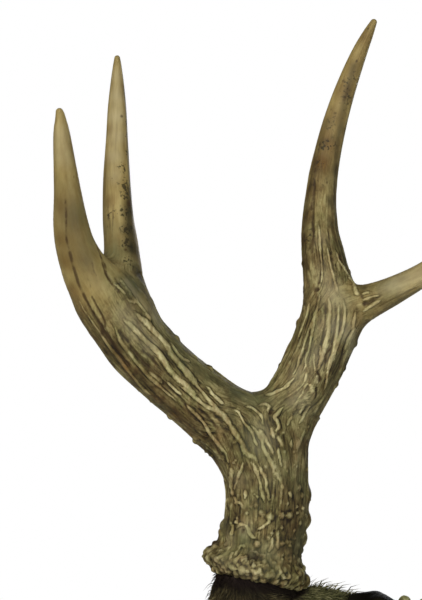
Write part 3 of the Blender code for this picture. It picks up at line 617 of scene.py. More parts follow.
zones = {  # broad tints: x, y, radius in mm and strength
    "calm": [
        (142, 300, 6, 0.9), (152, 312, 6, 0.9), (163, 325, 6, 0.9), (176, 340, 6, 0.8),
        (188, 353, 6, 0.8), (236, 385, 8, 0.9), (252, 392, 8, 0.9), (268, 396, 8, 0.7),
        (232, 396, 7, 0.6), (262, 410, 7, 0.5), (300, 470, 8, 0.5), (300, 500, 8, 0.7),
        (300, 530, 8, 0.7), (244, 480, 7, 0.5), (250, 520, 7, 0.6), (270, 540, 8, 0.6),
        (240, 540, 7, 0.6), (262, 560, 7, 0.4), (95, 290, 8, 0.6), (105, 305, 7, 0.6),
    ],
    "brown": [
        (222, 567, 5, 0.4), (238, 573, 5, 0.45), (252, 577, 5, 0.45), (268, 581, 5, 0.4),
        (284, 585, 5, 0.4), (175, 416, 5, 0.2), (112, 350, 6, 0.7), (122, 362, 7, 0.7),
        (135, 376, 8, 0.65), (150, 390, 8, 0.6), (165, 404, 8, 0.7), (182, 418, 8, 0.8),
        (200, 436, 8, 0.75), (214, 458, 7, 0.6), (148, 368, 6, 0.45), (160, 380, 6, 0.35),
        (305, 262, 6, 0.9), (304, 240, 6, 0.9), (308, 215, 6, 0.8), (312, 190, 6, 0.9),
        (317, 165, 7, 0.9), (330, 150, 7, 0.5), (328, 170, 6, 0.4), (362, 48, 6, 0.2),
        (350, 80, 6, 0.2), (326, 138, 7, 0.6), (334, 115, 6, 0.5), (345, 92, 6, 0.6),
        (308, 300, 7, 0.5), (354, 65, 6, 0.4), (295, 500, 8, 0.5), (292, 528, 8, 0.6),
        (287, 548, 6, 0.7), (290, 562, 6, 0.3), (304, 448, 6, 0.6), (220, 440, 8, 0.4),
        (235, 510, 6, 0.4), (212, 545, 6, 0.15), (60, 205, 5, 0.45), (62, 240, 6, 0.6),
        (66, 262, 6, 0.7), (74, 292, 7, 0.7), (84, 315, 7, 0.7), (95, 335, 7, 0.6),
        (109, 130, 4, 0.4), (108, 160, 4, 0.4), (109, 200, 4, 0.5), (366, 38, 5, 0.5),
        (129, 205, 4, 0.3), (238, 486, 6, 0.35), (200, 412, 7, 0.3), (325, 182, 6, 0.2),
        (196, 384, 6, 0.3), (252, 470, 6, 0.25),
    ],
    # painted shade in the crotches, on the trunk's right side, along the tall tine and between the
    # burr's beads, with some darker bone
    "shadeAndDarkTone": [
        (114, 240, 6, 0.45), (114, 256, 6, 0.45), (386, 303, 4, 0.4), (400, 297, 4, 0.3),
        (60, 184, 11, 0.2), (68, 200, 11, 0.27), (62, 216, 11, 0.22), (77, 218, 9, 0.5),
        (70, 236, 11, 0.2), (84, 240, 11, 0.3), (78, 258, 10, 0.3), (60, 150, 11, 0.2),
        (88, 262, 6, 0.4), (98, 280, 6, 0.3), (82, 282, 6, 0.25), (130, 230, 5, 0.9),
        (133, 250, 6, 1.0), (138, 272, 6, 0.9), (129, 212, 5, 0.6), (132, 290, 6, 0.8),
        (233, 480, 6, 0.3), (128, 280, 6, 0.8), (134, 291, 5, 0.5), (220, 569, 5, 0.3),
        (236, 576, 5, 0.3), (252, 580, 5, 0.35), (270, 585, 5, 0.35), (288, 588, 5, 0.35),
        (120, 355, 6, 0.35), (140, 382, 7, 0.35), (165, 408, 7, 0.35), (190, 428, 7, 0.35),
        (207, 446, 6, 0.3), (235, 393, 7, 0.9), (256, 400, 7, 0.3), (296, 500, 8, 0.2),
        (298, 470, 7, 0.1), (296, 528, 8, 0.3), (298, 552, 8, 0.35), (302, 440, 6, 0.25),
        (314, 415, 6, 0.3), (216, 548, 6, 0.1), (332, 200, 4, 0.9), (332, 225, 4, 0.8),
        (335, 245, 4, 0.5), (345, 262, 4, 0.5), (336, 170, 4, 0.7), (344, 130, 4, 0.5),
        (353, 100, 4, 0.3), (320, 155, 5, 0.2), (228, 524, 5, 0.15), (252, 556, 4, 0.3),
    ],
    # dark stains, with painted shade along the tall tine and under the burr
    "deep": [
        (131, 198, 3, 0.9), (213, 541, 4, 0.7), (254, 557, 5, 0.9), (291, 552, 4, 0.3),
        (286, 520, 4, 0.25), (211, 541, 4, 0.9), (298, 545, 5, 0.6), (299, 557, 5, 0.6),
        (215, 556, 5, 0.25), (302, 530, 4, 0.4), (225, 528, 5, 0.7), (228, 520, 4, 0.5),
        (182, 421, 4, 0.2), (168, 408, 4, 0.2), (332, 205, 3, 0.3), (104, 333, 3, 0.5),
        (317, 168, 3, 0.4), (313, 186, 3, 0.4), (323, 143, 3, 0.4), (334, 140, 3, 0.3),
        (331, 122, 3, 0.3),
    ],
    "green": [
        (113, 250, 7, 0.9), (111, 228, 6, 0.6), (126, 262, 8, 0.5), (134, 284, 8, 0.8),
        (145, 305, 7, 0.7), (160, 325, 7, 0.7), (175, 345, 8, 0.7), (190, 360, 8, 0.7),
        (207, 373, 8, 0.7), (228, 386, 9, 0.6), (248, 396, 9, 0.9), (268, 400, 9, 0.6),
        (255, 430, 9, 0.6), (243, 538, 5, 0.9), (271, 548, 7, 0.5), (110, 272, 8, 0.5),
        (118, 288, 7, 0.5), (275, 572, 8, 0.6), (230, 552, 7, 0.7), (250, 547, 5, 0.5),
        (266, 553, 6, 0.4), (296, 548, 8, 0.4), (400, 281, 6, 0.25), (303, 535, 8, 0.5),
        (305, 410, 9, 0.4), (280, 470, 10, 0.4), (345, 300, 8, 0.4), (378, 290, 8, 0.4),
        (390, 283, 8, 0.4), (312, 345, 8, 0.3), (300, 480, 8, 0.5), (255, 505, 8, 0.4),
        (82, 210, 7, 0.35), (92, 245, 7, 0.35), (331, 180, 5, 0.3), (265, 455, 8, 0.35),
        (246, 450, 6, 0.3), (225, 415, 7, 0.3),
    ],
    "speck": [
        (126, 92, 3, 0.7), (127, 108, 3, 0.8), (127, 122, 3, 0.9), (127, 138, 3, 0.9),
        (127, 152, 3, 0.8), (122, 168, 3.5, 0.8), (124, 182, 4, 0.9), (127, 196, 4.5, 1.0),
        (126, 212, 4.5, 1.0), (127, 228, 4.5, 1.0), (127, 244, 5, 0.9), (129, 262, 5, 0.8),
        (111, 180, 3, 0.4), (110, 212, 4, 0.7), (118, 285, 5, 0.5), (124, 296, 5, 0.35),
        (345, 84, 5, 0.6), (349, 98, 5, 0.6), (340, 112, 5, 0.5), (330, 124, 5, 0.5),
        (333, 144, 5, 0.5), (322, 146, 5, 0.6), (318, 165, 5, 0.6), (316, 185, 5, 0.6),
        (330, 184, 4, 0.4), (314, 232, 5, 0.6), (306, 240, 4, 0.6), (304, 262, 4, 0.4),
        (364, 60, 4, 0.3), (355, 74, 4, 0.5), (250, 558, 6, 0.5), (295, 500, 6, 0.4),
        (318, 375, 5, 0.3), (284, 530, 6, 0.4),
    ],
    # pale bone, with painted sheen at the main crotch and on the right branch's edge
    "pale": [
        (238, 569, 6, 0.2), (253, 573, 6, 0.2), (224, 564, 5, 0.2), (262, 480, 10, 0.1),
        (270, 555, 7, 0.12), (302, 368, 8, 0.3), (296, 378, 6, 0.3), (308, 352, 6, 0.2),
        (117, 75, 6, 0.7), (117, 95, 6, 0.9), (116, 115, 6, 0.9), (116, 135, 6, 0.8),
        (114, 155, 6, 0.7), (114, 175, 5, 0.5), (60, 135, 7, 0.5), (62, 155, 7, 0.45),
        (400, 282, 7, 0.8), (418, 274, 7, 0.8), (385, 288, 6, 0.4), (335, 300, 8, 0.5),
        (330, 330, 8, 0.6), (344, 330, 7, 0.5), (350, 350, 6, 0.6), (322, 355, 8, 0.5),
        (300, 400, 8, 0.5), (322, 270, 6, 0.2), (330, 285, 7, 0.4), (349, 338, 5, 0.6),
        (322, 240, 5, 0.3), (135, 330, 7, 0.5), (150, 345, 6, 0.5), (125, 315, 7, 0.45),
        (228, 540, 5, 0.4), (245, 528, 5, 0.4), (240, 480, 6, 0.2), (262, 440, 8, 0.4),
        (262, 422, 7, 0.15),
    ],
}


def pathFromBurr(stations, perSpan=5):
    return smoothPath([np.add(row, (*antler["burrAt"], 0)) for row in stations], perSpan)


def buildSkeleton():
    limbs = {}
    for name, stations in antler["limbs"].items():
        path = pathFromBurr(stations)
        steps = np.linalg.norm(np.diff(path[:, :3], axis=0), axis=1)
        along = np.concatenate([[0], np.cumsum(steps)])
        limbs[name] = {"name": name, "path": path, "along": along, "length": along[-1]}
    return limbs


skeleton = buildSkeleton()
webPaths = [pathFromBurr(stations) for stations in antler["webs"]]
antlerPaths = [limb["path"] for limb in skeleton.values()] + webPaths


def centreAt(limb, s):
    return np.array([np.interp(s, limb["along"], limb["path"][:, k]) for k in range(3)])


def radiusAt(limb, s):
    return float(np.interp(s, limb["along"], limb["path"][:, 3]))


def alongAt(limb, s, reach=3.0):
    return unit(centreAt(limb, min(s + reach, limb["length"])) - centreAt(limb, max(s - reach, 0)))


def frameAt(limb, s):  # along the limb, towards the viewer, and to the viewer's right
    along = alongAt(limb, s)
    front = unit(towardsViewer - (towardsViewer @ along) * along)
    return along, front, np.cross(along, front)


def directionsAt(limb, s, angles, lift=0.0):
    along, front, side = frameAt(limb, s)
    flat = np.cos(angles)[:, None] * front + np.sin(angles)[:, None] * side
    return math.cos(lift) * flat + math.sin(lift) * along


def angleOf(limb, s, vector):
    _, front, side = frameAt(limb, s)
    return math.atan2(vector @ side, vector @ front)


def nearPaths(place, reach=48.0):  # the limbs that pass near a place
    return [path for path in antlerPaths if outsideOf(place[None], path)[0] < reach]


def antlerSurface(middle, directions, start):
    paths = nearPaths(middle)
    origins = np.repeat(middle[None], len(directions), axis=0)
    return castOut(lambda p: melted(p, paths, antler["melt"]), origins, directions, start)


shell = {"points": [], "fibres": [], "grown": [], "limb": [], "s": [], "angle": [], "faces": []}
limbNames = list(antler["limbs"])


def addLoop(points, fibres, grown, limb, s, angles):
    first = sum(len(rows) for rows in shell["points"])
    count = len(points)
    shell["points"].append(points)
    shell["fibres"].append(fibres)
    shell["grown"].append(np.full(count, float(grown)))
    shell["limb"].append(np.full(count, limbNames.index(limb["name"])))
    shell["s"].append(np.full(count, float(s)))
    shell["angle"].append(np.asarray(angles, float))
    return np.arange(first, first + count)


def bridge(lower, upper):  # faces between two rings
    quads = np.column_stack([lower, np.roll(lower, -1), np.roll(upper, -1), upper])
    shell["faces"].extend(quads.tolist())


def fan(loop, middle):  # faces from a ring to one point
    shell["faces"].extend([[middle, a, b] for a, b in zip(loop, np.roll(loop, -1))])


def growLimb(limb, loop, fibres, angles, s, grown):
    isTine = limb["name"] not in antler["forks"]
    step = antler["tineStep"] if isTine else antler["ringStep"]
    stops = np.linspace(s, limb["length"], max(2, round((limb["length"] - s) / step)) + 1)[1:]
    for s in stops:
        directions = directionsAt(limb, s, angles)
        points = antlerSurface(centreAt(limb, s), directions, 0.8 * radiusAt(limb, s))
        upper = addLoop(points, fibres, grown + s, limb, s, angles)
        bridge(loop, upper)
        loop = upper
    if isTine:
        closeTip(limb, loop, fibres, angles, grown)
    else:
        splitLimb(limb, loop, fibres, angles, points, grown)


def closeTip(limb, loop, fibres, angles, grown):
    end = limb["length"]
    middle, radius = centreAt(limb, end), radiusAt(limb, end)
    for lift in antler["tipLifts"]:
        directions = directionsAt(limb, end, angles, math.radians(lift))
        upper = addLoop(middle + radius * directions, fibres, grown + end, limb, end, angles)
        bridge(loop, upper)
        loop = upper
    point = middle + radius * alongAt(limb, end)
    pole = addLoop(point[None], fibres[:1], grown + end, limb, end, [0.0])
    fan(loop, pole[0])


def splitLimb(limb, loop, fibres, angles, points, grown):  # a saddle parts the ring in two
    rightName, leftName = antler["forks"][limb["name"]]
    right, left = skeleton[rightName], skeleton[leftName]
    s = limb["length"]
    middle = centreAt(limb, s)
    onward = alongAt(limb, s)
    outRight = alongAt(right, antler["leadOut"][rightName])
    outLeft = alongAt(left, antler["leadOut"][leftName])
    facing = unit(np.cross(outLeft, outRight))
    if facing @ towardsViewer < 0:
        facing = -facing
    turned = angles - angleOf(limb, s, facing)
    first = int(np.argmin(np.abs((turned + math.pi) % math.tau - math.pi)))
    count = len(loop)
    half = count // 2
    order = np.roll(np.arange(count), -first)
    over = antler["saddles"][count]
    share = (np.arange(over) + 1)[:, None] / (over + 1)
    front = unit(points[order[0]] - middle)
    rise = unit(outRight + outLeft)
    rays = unit(front * np.cos(share * math.pi) + rise * np.sin(share * math.pi))
    saddle = antlerSurface(middle, rays, 0.8 * radiusAt(limb, s))
    saddleFibres = fibres[order[0]] * (1 - share) + fibres[order[half]] * share
    saddleLoop = addLoop(saddle, saddleFibres, grown + s, limb, s, np.zeros(over))
    around = np.append(order, order[0])
    for child, other, kept, way in (
        (right, outLeft, around[: half + 1], slice(None, None, -1)),
        (left, outRight, around[half:], slice(None)),
    ):
        childPoints = np.vstack([points[kept], saddle[way]])
        childFibres = np.vstack([fibres[kept], saddleFibres[way]])
        childLoop = np.concatenate([loop[kept], saddleLoop[way]])
        leadOut(child, middle, onward, other, len(kept), childPoints, childFibres, childLoop, grown + s)


def leadOut(limb, middle, onward, other, kept, points, fibres, loop, grown):  # rings past a fork
    split = antler["leadOut"][limb["name"]]
    along = alongAt(limb, split)
    outward = (other @ along) * along - other
    count = len(loop)
    angles = angleOf(limb, split, outward) + (np.arange(count) - (kept - 1) / 2) * math.tau / count
    start = unit(points - middle)
    rings = round(split / antler["ringStep"])
    for step in range(1, rings + 1):
        share = step / rings
        s = split * share
        ease = share * share * (3 - 2 * share)
        directions = unit((1 - ease) * start + ease * directionsAt(limb, s, angles))
        here = (1 - ease) * (middle + s * onward) + ease * centreAt(limb, s)
        reached = antlerSurface(here, directions, 0.8 * radiusAt(limb, s))
        upper = addLoop(reached, fibres, grown + s, limb, s, angles)
        bridge(loop, upper)
        loop = upper
    growLimb(limb, loop, fibres, angles, split, grown)


def growAntler():
    base = skeleton["base"]
    angles = np.arange(antler["columns"]) * math.tau / antler["columns"]
    fibres = base["path"][0, 3] * np.column_stack([np.cos(angles), np.sin(angles)])
    points = antlerSurface(centreAt(base, 0), directionsAt(base, 0, angles), 18.0)
    loop = addLoop(points, fibres, 0, base, 0, angles)
    foot = addLoop(centreAt(base, 0)[None], np.zeros((1, 2)), 0, base, 0, [0.0])
    fan(loop[::-1], foot[0])
    growLimb(base, loop, fibres, angles, 0.0, 0.0)


growAntler()
bone = {key: np.concatenate(rows) for key, rows in shell.items() if key != "faces"}
boneFaces = shell["faces"]
print("antler grown:", len(bone["points"]), "points,", len(boneFaces), "faces")


def edgePairs(faces):
    pairs = []
    for size in (3, 4):
        rows = np.array([f for f in faces if len(f) == size])
        if len(rows):
            pairs += [rows[:, [k, (k + 1) % size]] for k in range(size)]
    return np.unique(np.sort(np.vstack(pairs), axis=1), axis=0)


def softened(values, edges, rounds):  # each round averages a point with its neighbours
    count = len(values)
    degree = np.bincount(edges.ravel(), minlength=count) + 1
    for _ in range(rounds):
        total = values.copy()
        total += np.bincount(edges[:, 0], values[edges[:, 1]], count)
        total += np.bincount(edges[:, 1], values[edges[:, 0]], count)
        values = total / degree
    return values


def outwardNormals(points, faces):
    normals = np.zeros_like(points)
    for size in (3, 4):
        rows = np.array([f for f in faces if len(f) == size])
        if not len(rows):
            continue
        corners = points[rows]
        if size == 3:
            across = np.cross(corners[:, 1] - corners[:, 0], corners[:, 2] - corners[:, 0])
        else:
            across = np.cross(corners[:, 2] - corners[:, 0], corners[:, 3] - corners[:, 1])
        for k in range(size):
            for axis in range(3):
                normals[:, axis] += np.bincount(rows[:, k], across[:, axis], len(points))
    return unit(normals + 1e-9)


def bump(x):  # 1 at 0, smoothly down to 0 at 1
    return np.clip(1 - x**2, 0, 1) ** 2


def between(x, low, high):  # 0 below low, 1 above high
    share = np.clip((x - low) / (high - low), 0, 1)
    return share * share * (3 - 2 * share)


def turnBy(angle, degrees):  # the shorter way round to an angle
    return (angle - math.radians(degrees) + math.pi) % math.tau - math.pi


def rimHeight(angle):  # the burr's lower rim: the hide is drawn up under it
    low, left, front = relief["rim"]
    return low - left * np.sin(angle) + front * np.maximum(0, np.cos(angle))


def burrForm(s, angle):  # how far the burr stands out from the beam
    left = 0.5 - 0.5 * np.sin(angle)
    tall, crest, down, up = (least + more * left for least, more in relief["collar"])
    over = s - rimHeight(angle) - crest
    height = tall * bump(over / np.where(over < 0, down, up))
    height -= relief["footDepth"] * between(rimHeight(angle) - s, -1, 1)
    for above, degrees, radius, lump in relief["lumps"]:
        height += lump * bump(np.hypot(s - above, 24 * turnBy(angle, degrees)) / radius)
    return height


def picturePixels(points):  # where the camera sees each point, in the picture's pixels
    scale = view["distance"] / view["pixel"] / (points[:, 1] - eyePoint[1])
    across = view["size"][0] / 2 + (points[:, 0] - eyePoint[0]) * scale
    down = view["size"][1] / 2 - (points[:, 2] - eyePoint[2]) * scale
    return np.column_stack([across, down])


class Shown:  # the antler's points as the camera sees them
    def __init__(self, points, normals):
        self.points = points
        self.seen = picturePixels(points)
        self.facing = (normals * unit(eyePoint - points)).sum(axis=1) > 0.1

    def spot(self, pixel):  # the front point seen at a pixel
        away = np.hypot(*(self.seen - pixel).T) + 100 * ~self.facing
        close = np.flatnonzero(away < max(2.0, away.min() + 0.1))
        depth = self.points[close, 1]
        front = close[depth < depth.min() + 6]
        return self.points[front[np.argmin(away[front])]]

    def path(self, line):
        return smoothPath([(*self.spot(pixel), 0) for pixel in line], 4)

    def dot(self, pixel):
        return dotPath(self.spot(pixel))


def dotPath(place):  # a path so short that it is a dot
    return np.array([[*place, 0], [*(place + 0.01), 0]])


def nearPath(points, path, reach):  # the points near a line, and how far off it they are
    low, high = path[:, :3].min(axis=0) - reach, path[:, :3].max(axis=0) + reach
    near = np.flatnonzero(((points > low) & (points < high)).all(axis=1))
    off = outsideOf(points[near], path)
    return near[off < reach], off[off < reach]


def keepHigher(values, near, found):
    values[near] = np.maximum(values[near], found)


def evenForks(edges):  # the loops bunch up where limbs part, and the fibres turn too sharply
    limb, s = bone["limb"], bone["s"]
    near = (limb == 0) & (s > skeleton["base"]["length"] - 14)
    for parent in ("left", "right"):
        child = limb == limbNames.index(parent)
        near |= child & (s < antler["leadOut"][parent]) | child & (s > skeleton[parent]["length"] - 10)
    for tine in ("outerTine", "backTine", "tallTine", "sideTine"):
        near |= (limb == limbNames.index(tine)) & (s < antler["leadOut"][tine])
    share = softened(near.astype(float), edges, 8)[:, None]
    points = bone["points"]
    for _ in range(2):
        eased = np.column_stack([softened(points[:, k], edges, 20) for k in range(3)])
        points = points + share * (eased - points)
        moved = np.flatnonzero(share[:, 0] > 0.02)
        normals = outwardNormals(points, boneFaces)
        off = melted(points[moved], antlerPaths, antler["melt"])
        points[moved] -= share[moved] * off[:, None] * normals[moved]
    bone["points"] = points
    fibres = np.column_stack([bone["fibres"], bone["grown"]])
    eased = np.column_stack([softened(fibres[:, k], edges, 120) for k in range(3)])
    wide = softened(near.astype(float), edges, 40)[:, None]
    fibres = fibres + np.clip(1.6 * wide, 0, 1) * (eased - fibres)
    bone["fibres"], bone["grown"] = fibres[:, :2], fibres[:, 2]


def shapeBurr(onBase):  # the collar with its lumps, and the low bumps on the outline
    form = np.zeros(len(bone["s"]))
    form[onBase] = burrForm(bone["s"][onBase], bone["angle"][onBase])
    normals = outwardNormals(bone["points"], boneFaces)
    points = bone["points"] + normals * form[:, None]
    shown = Shown(points, normals)
    for x, y, size, tall in edgeBumps:
        near, off = nearPath(points, shown.dot((x, y)), size)
        points[near] += tall * bump(off / size)[:, None] * normals[near]
    return points, outwardNormals(points, boneFaces)


def fibrePlace():  # noise is read here: it runs along the fibres, and wanders more near the burr
    fibres, grown = bone["fibres"], bone["grown"]
    slow = np.column_stack([fibres / 14, grown / 22])
    wander = relief["wander"] * (1 + 0.7 * np.exp(-grown / 40))
    across = [fibres[:, k] + wander * noiseAt(slow, seed) for k, seed in enumerate((3.1, 17.7))]
    return np.column_stack([*across, 0.12 * grown + 12 * (1 - np.exp(-grown / 35))])


def ridgeStrength():
    strength = np.zeros(len(bone["s"]))
    for index, name in enumerate(limbNames):
        stops = np.array(relief["ridgeFade"][name])
        here = bone["limb"] == index
        strength[here] = np.interp(bone["s"][here], stops[:, 0], stops[:, 1])
    return strength


def windingLines(place, key, seed):  # 1 along the lines where a noise passes through 0
    spacing, width = relief[key]
    return np.exp(-((noiseAt(place / spacing, seed) / width) ** 2))


def ridgesByNoise(place):
    fibres, grown = bone["fibres"], bone["grown"]
    present = between(noiseAt(np.column_stack([fibres / 9, grown / 26]), 43.0), -0.35, 0.15)
    main = windingLines(place, "ridgeLines", 5.3)
    fine = windingLines(place, "fineLines", 9.9)
    crack = windingLines(place, "crackLines", 31.0)
    ridges = relief["ridge"] * main * present + relief["fine"] * fine * (1 - 0.5 * main)
    return ridges - relief["crack"] * crack * (1 - main), main * present


def loosened(points):  # the points shaken a little, so that what is drawn on them wobbles
    shaken = points.copy()
    loose = np.where(bone["limb"] == 0, 1.0, relief["looseBeyondTrunk"])
    for size, reach in relief["shaken"]:
        for axis in range(3):
            shaken[:, axis] += loose * reach * noiseAt(points / size, 81.0 + 9 * axis)
    return shaken


def carveLines(shown, shaken, place, marks):
    wormWide, wormTall = relief["wormSize"]
    grooveWide, grooveDeep = relief["grooveSize"]
    drawn = [("raised", wide, 0.6 + 0.2 * wide, line) for wide, line in broadRidges]
    drawn += [("raised", wormWide, wormTall, line) for line in worms]
    drawn += [("cut", grooveWide, grooveDeep, line) for line in grooves]
    drawn += [("cut", wide, deep, line) for wide, deep, line in valleys]
    for key, wide, tall, line in drawn:
        path = shown.path(line)
        path[:, 3] = -1.3 * wide * np.abs(np.linspace(-1, 1, len(path))) ** 6  # the ends taper
        near, off = nearPath(shaken, path, wide * 2.6)
        uneven = noiseAt(place[near] * (0.25, 0.25, 0.5), 61.0)
        off = off / (wide * (0.95 + 0.6 * uneven)) + 0.3 * noiseAt(shown.points[near] / 1.7, 67.0)
        shape = bump(np.clip(off, 0, 1)) ** (0.5 if key == "raised" else 0.8)
        keepHigher(marks[key], near, tall * shape * (0.9 + 0.4 * uneven))
        if key == "raised":
            keepHigher(marks["crisp"], near, np.clip(1 - off / 2, 0, 1))
    for x, y, size in pits:
        near, off = nearPath(shown.points, shown.dot((x, y)), size)
        keepHigher(marks["cut"], near, relief["pitDepth"] * bump(off / size))


def spotOnBase(shown, onBase, up, degrees):  # the base point nearest to a place on the beam
    s, angle = bone["s"][onBase], bone["angle"][onBase]
    off = np.hypot(s - up, 22 * turnBy(angle, degrees))
    return shown.points[onBase[np.argmin(off)]]


def scatterBeads(shown, onBase):  # place, size, height and how pale, the most near the burr
    random = np.random.default_rng(11)
    beads = []
    for k in range(relief["rimBeads"]):
        for row, heights in enumerate(relief["rimRows"]):
            degrees = (k + 0.5 * row + random.uniform(-0.3, 0.3)) * 360 / relief["rimBeads"]
            up = random.uniform(*heights) + rimHeight(math.radians(degrees))
            spot = spotOnBase(shown, onBase, up, degrees)
            beads.append((spot, random.uniform(1.2, 2.2) * (1 - 0.2 * row), 1.5 - 0.4 * row, 0.75))
    for _ in range(relief["pearls"]):
        up = 4 + 88 * random.random() ** 1.6
        spot = spotOnBase(shown, onBase, up, random.uniform(-180, 180))
        size = random.uniform(0.9, 1.9) * (1.15 - 0.4 * up / 90)
        beads.append((spot, size, random.uniform(0.7, 1.3), 0.66))
    return beads + [(shown.spot((x, y)), 1.1 * size, 0.75 * size, 0.8) for x, y, size in pearls]


def raiseBeads(shown, shaken, beads, marks):
    wobbly = 0.4 * shown.points + 0.6 * shaken
    for spot, size, tall, pale in beads:
        near, off = nearPath(wobbly, dotPath(spot), 2 * size)
        keepHigher(marks["raised"], near, tall * np.clip(1 - (off / size) ** 2, 0, 1) ** 0.6)
        keepHigher(marks["crisp"], near, pale * np.clip(1 - 0.5 * off / size, 0, 1))


def layStains(shown):
    stain = np.zeros(len(shown.points))
    for wide, amount, line in streaks:
        near, off = nearPath(shown.points, shown.path(line), 1.4 * wide)
        broken = 0.9 + 1.1 * noiseAt(shown.points[near] / 2.6, 71.0)
        keepHigher(stain, near, amount * broken * bump(off / wide / 1.4))
    for x, y, size, amount in stains:
        near, off = nearPath(shown.points, shown.dot((x, y)), 1.6 * size)
        keepHigher(stain, near, amount * bump(off / size / 1.6))
    return np.clip(stain, 0, 1)


def layTints(shown, onBase):
    tints = {}
    for key, spots in zones.items():
        tint = np.zeros(len(shown.points))
        for x, y, size, amount in spots:
            near, off = nearPath(shown.points, shown.dot((x, y)), 1.5 * size)
            tint[near] += amount * bump(off / size / 1.5)
        for which, wide, amount, line in shades:
            if which == key:
                near, off = nearPath(shown.points, shown.path(line), 1.5 * wide)
                keepHigher(tint, near, amount * bump(off / wide / 1.5))
        if key == "deep":  # painted shadow under the burr, where the hide meets it
            aboveRim = bone["s"][onBase] - rimHeight(bone["angle"][onBase])
            tint[onBase] += 1 - between(aboveRim, -1.4, 0.4)
        tints[key] = np.clip(tint, 0, 1)
    return tints


def growRelief():
    edges = edgePairs(boneFaces)
    evenForks(edges)
    onBase = np.flatnonzero((bone["limb"] == 0) & (bone["s"] < 90))
    points, normals = shapeBurr(onBase)
    place, strength = fibrePlace(), ridgeStrength()
    ridges, main = ridgesByNoise(place)

    shown, shaken = Shown(points, normals), loosened(points)
    marks = {key: np.zeros(len(points)) for key in ("raised", "cut", "crisp")}
    carveLines(shown, shaken, place, marks)
    raiseBeads(shown, shaken, scatterBeads(shown, onBase), marks)
    raised, cut, crisp = marks.values()
    tints = layTints(shown, onBase)
    calm = tints.pop("calm")

    # where ridges are traced, and in calm places, the ones made by noise are lower
    foot = np.zeros(len(points))
    foot[onBase] = 1 - between(bone["s"][onBase], 16, 34)
    covered = np.clip(raised / 0.8, 0, 1)
    traced = np.clip(3 * softened(covered, edges, 60), 0, 1)
    quiet = (1 - 0.4 * traced) * (1 - 0.6 * calm) * (1 - 0.6 * foot)
    swell = noiseAt(np.column_stack([bone["fibres"] / 8, bone["grown"] / 30]), 77.0)
    height = strength * (quiet * ridges + relief["swell"] * swell)
    knobs = between(noiseAt(points[onBase] / 3.2, 51.0), -0.25, 0.35)
    knobs += 0.5 * noiseAt(points[onBase] / 1.8, 53.0)
    height[onBase] += relief["knobs"] * foot[onBase] * (knobs - 0.4)
    height = height * (1 - 0.75 * covered) + raised - cut * (1 - covered)

    crest = 1.7 * height - softened(height, edges, 5) - 0.7 * softened(height, edges, 30)
    paintMarks = {
        "crest": crest * (1 - 0.45 * foot * (1 - covered)),
        "crisp": np.maximum(crisp, 0.7 * (main * strength * quiet) ** 1.2),
        "rough": strength * (1 - 0.35 * calm),
        "stain": layStains(shown),
        "groove": np.clip(0.9 * cut * (1 - covered), 0, 1),
    }
    return points + normals * height[:, None], {**paintMarks, **tints}


boneLook = {
    "ridged": [  # from the deepest groove to the highest ridge
        (0.0, (28, 22, 9)),
        (0.22, (78, 66, 34)),
        (0.4, (128, 115, 70)),
        (0.6, (164, 152, 102)),
        (0.8, (199, 187, 131)),
        (1.0, (219, 208, 156)),
    ],
    "smooth": [
        (0.1, (118, 96, 50)),
        (0.4, (158, 135, 78)),
        (0.6, (180, 159, 99)),
        (0.85, (199, 182, 122)),
    ],
    "tints": [  # painted over in turn: colour, blend and the most it covers
        ("brown", (167, 136, 84), "MULTIPLY", 1.0),
        # painted shade, with some darker bone
        ("shadeAndDarkTone", (120, 116, 104), "MULTIPLY", 1.0),
        ("green", (116, 119, 80), "MIX", 0.6),
        # pale bone, partly painted sheen
        ("pale", (208, 196, 156), "MIX", 0.55),
        # dark stains, partly painted shade
        ("deep", (46, 44, 26), "MIX", 0.85),
    ],
    "mottles": [  # all over, by noise: size in mm, colour and strength
        (11, (170, 178, 140), 0.55),
        (5, (178, 140, 100), 0.5),
        (2.4, (140, 128, 96), 0.45),
    ],
    "speck": (48, 42, 22),
    "stain": (70, 50, 22),
    "groove": (56, 40, 18),
    "depth": 0.43,  # how far one mm of relief shifts the colour
    "grain": 0.42,
    "crisp": (0.21, 0.2, 0.0005),  # paler on a drawn ridge, painted shade beside it, and its sharp rise
    "dash": 0.25,  # how much darker the short furrows along the fibres are
    "roughness": (0.42, 0.72),
    "pitting": 0.0002,
}


def boneGrain(paint):  # noise drawn out along the fibres
    fibre = paint.read("fibre", True)
    return {
        "strands": paint.noise(paint.stretch(fibre, (0.7, 0.7, 0.07)), 1.0, 4.0, 0.6),
        "blotches": paint.noise(paint.stretch(fibre, (0.14, 0.14, 0.05)), 1.0, 3.0, 0.6, 0.4),
        "grit": paint.noise(paint.stretch(fibre, (2.0, 2.0, 1.2)), 1.0, 3.0, 0.65),
        "dashes": paint.noise(paint.stretch(fibre, (1.5, 1.5, 0.17)), 1.0, 2.0, 0.5, 0.3),
    }


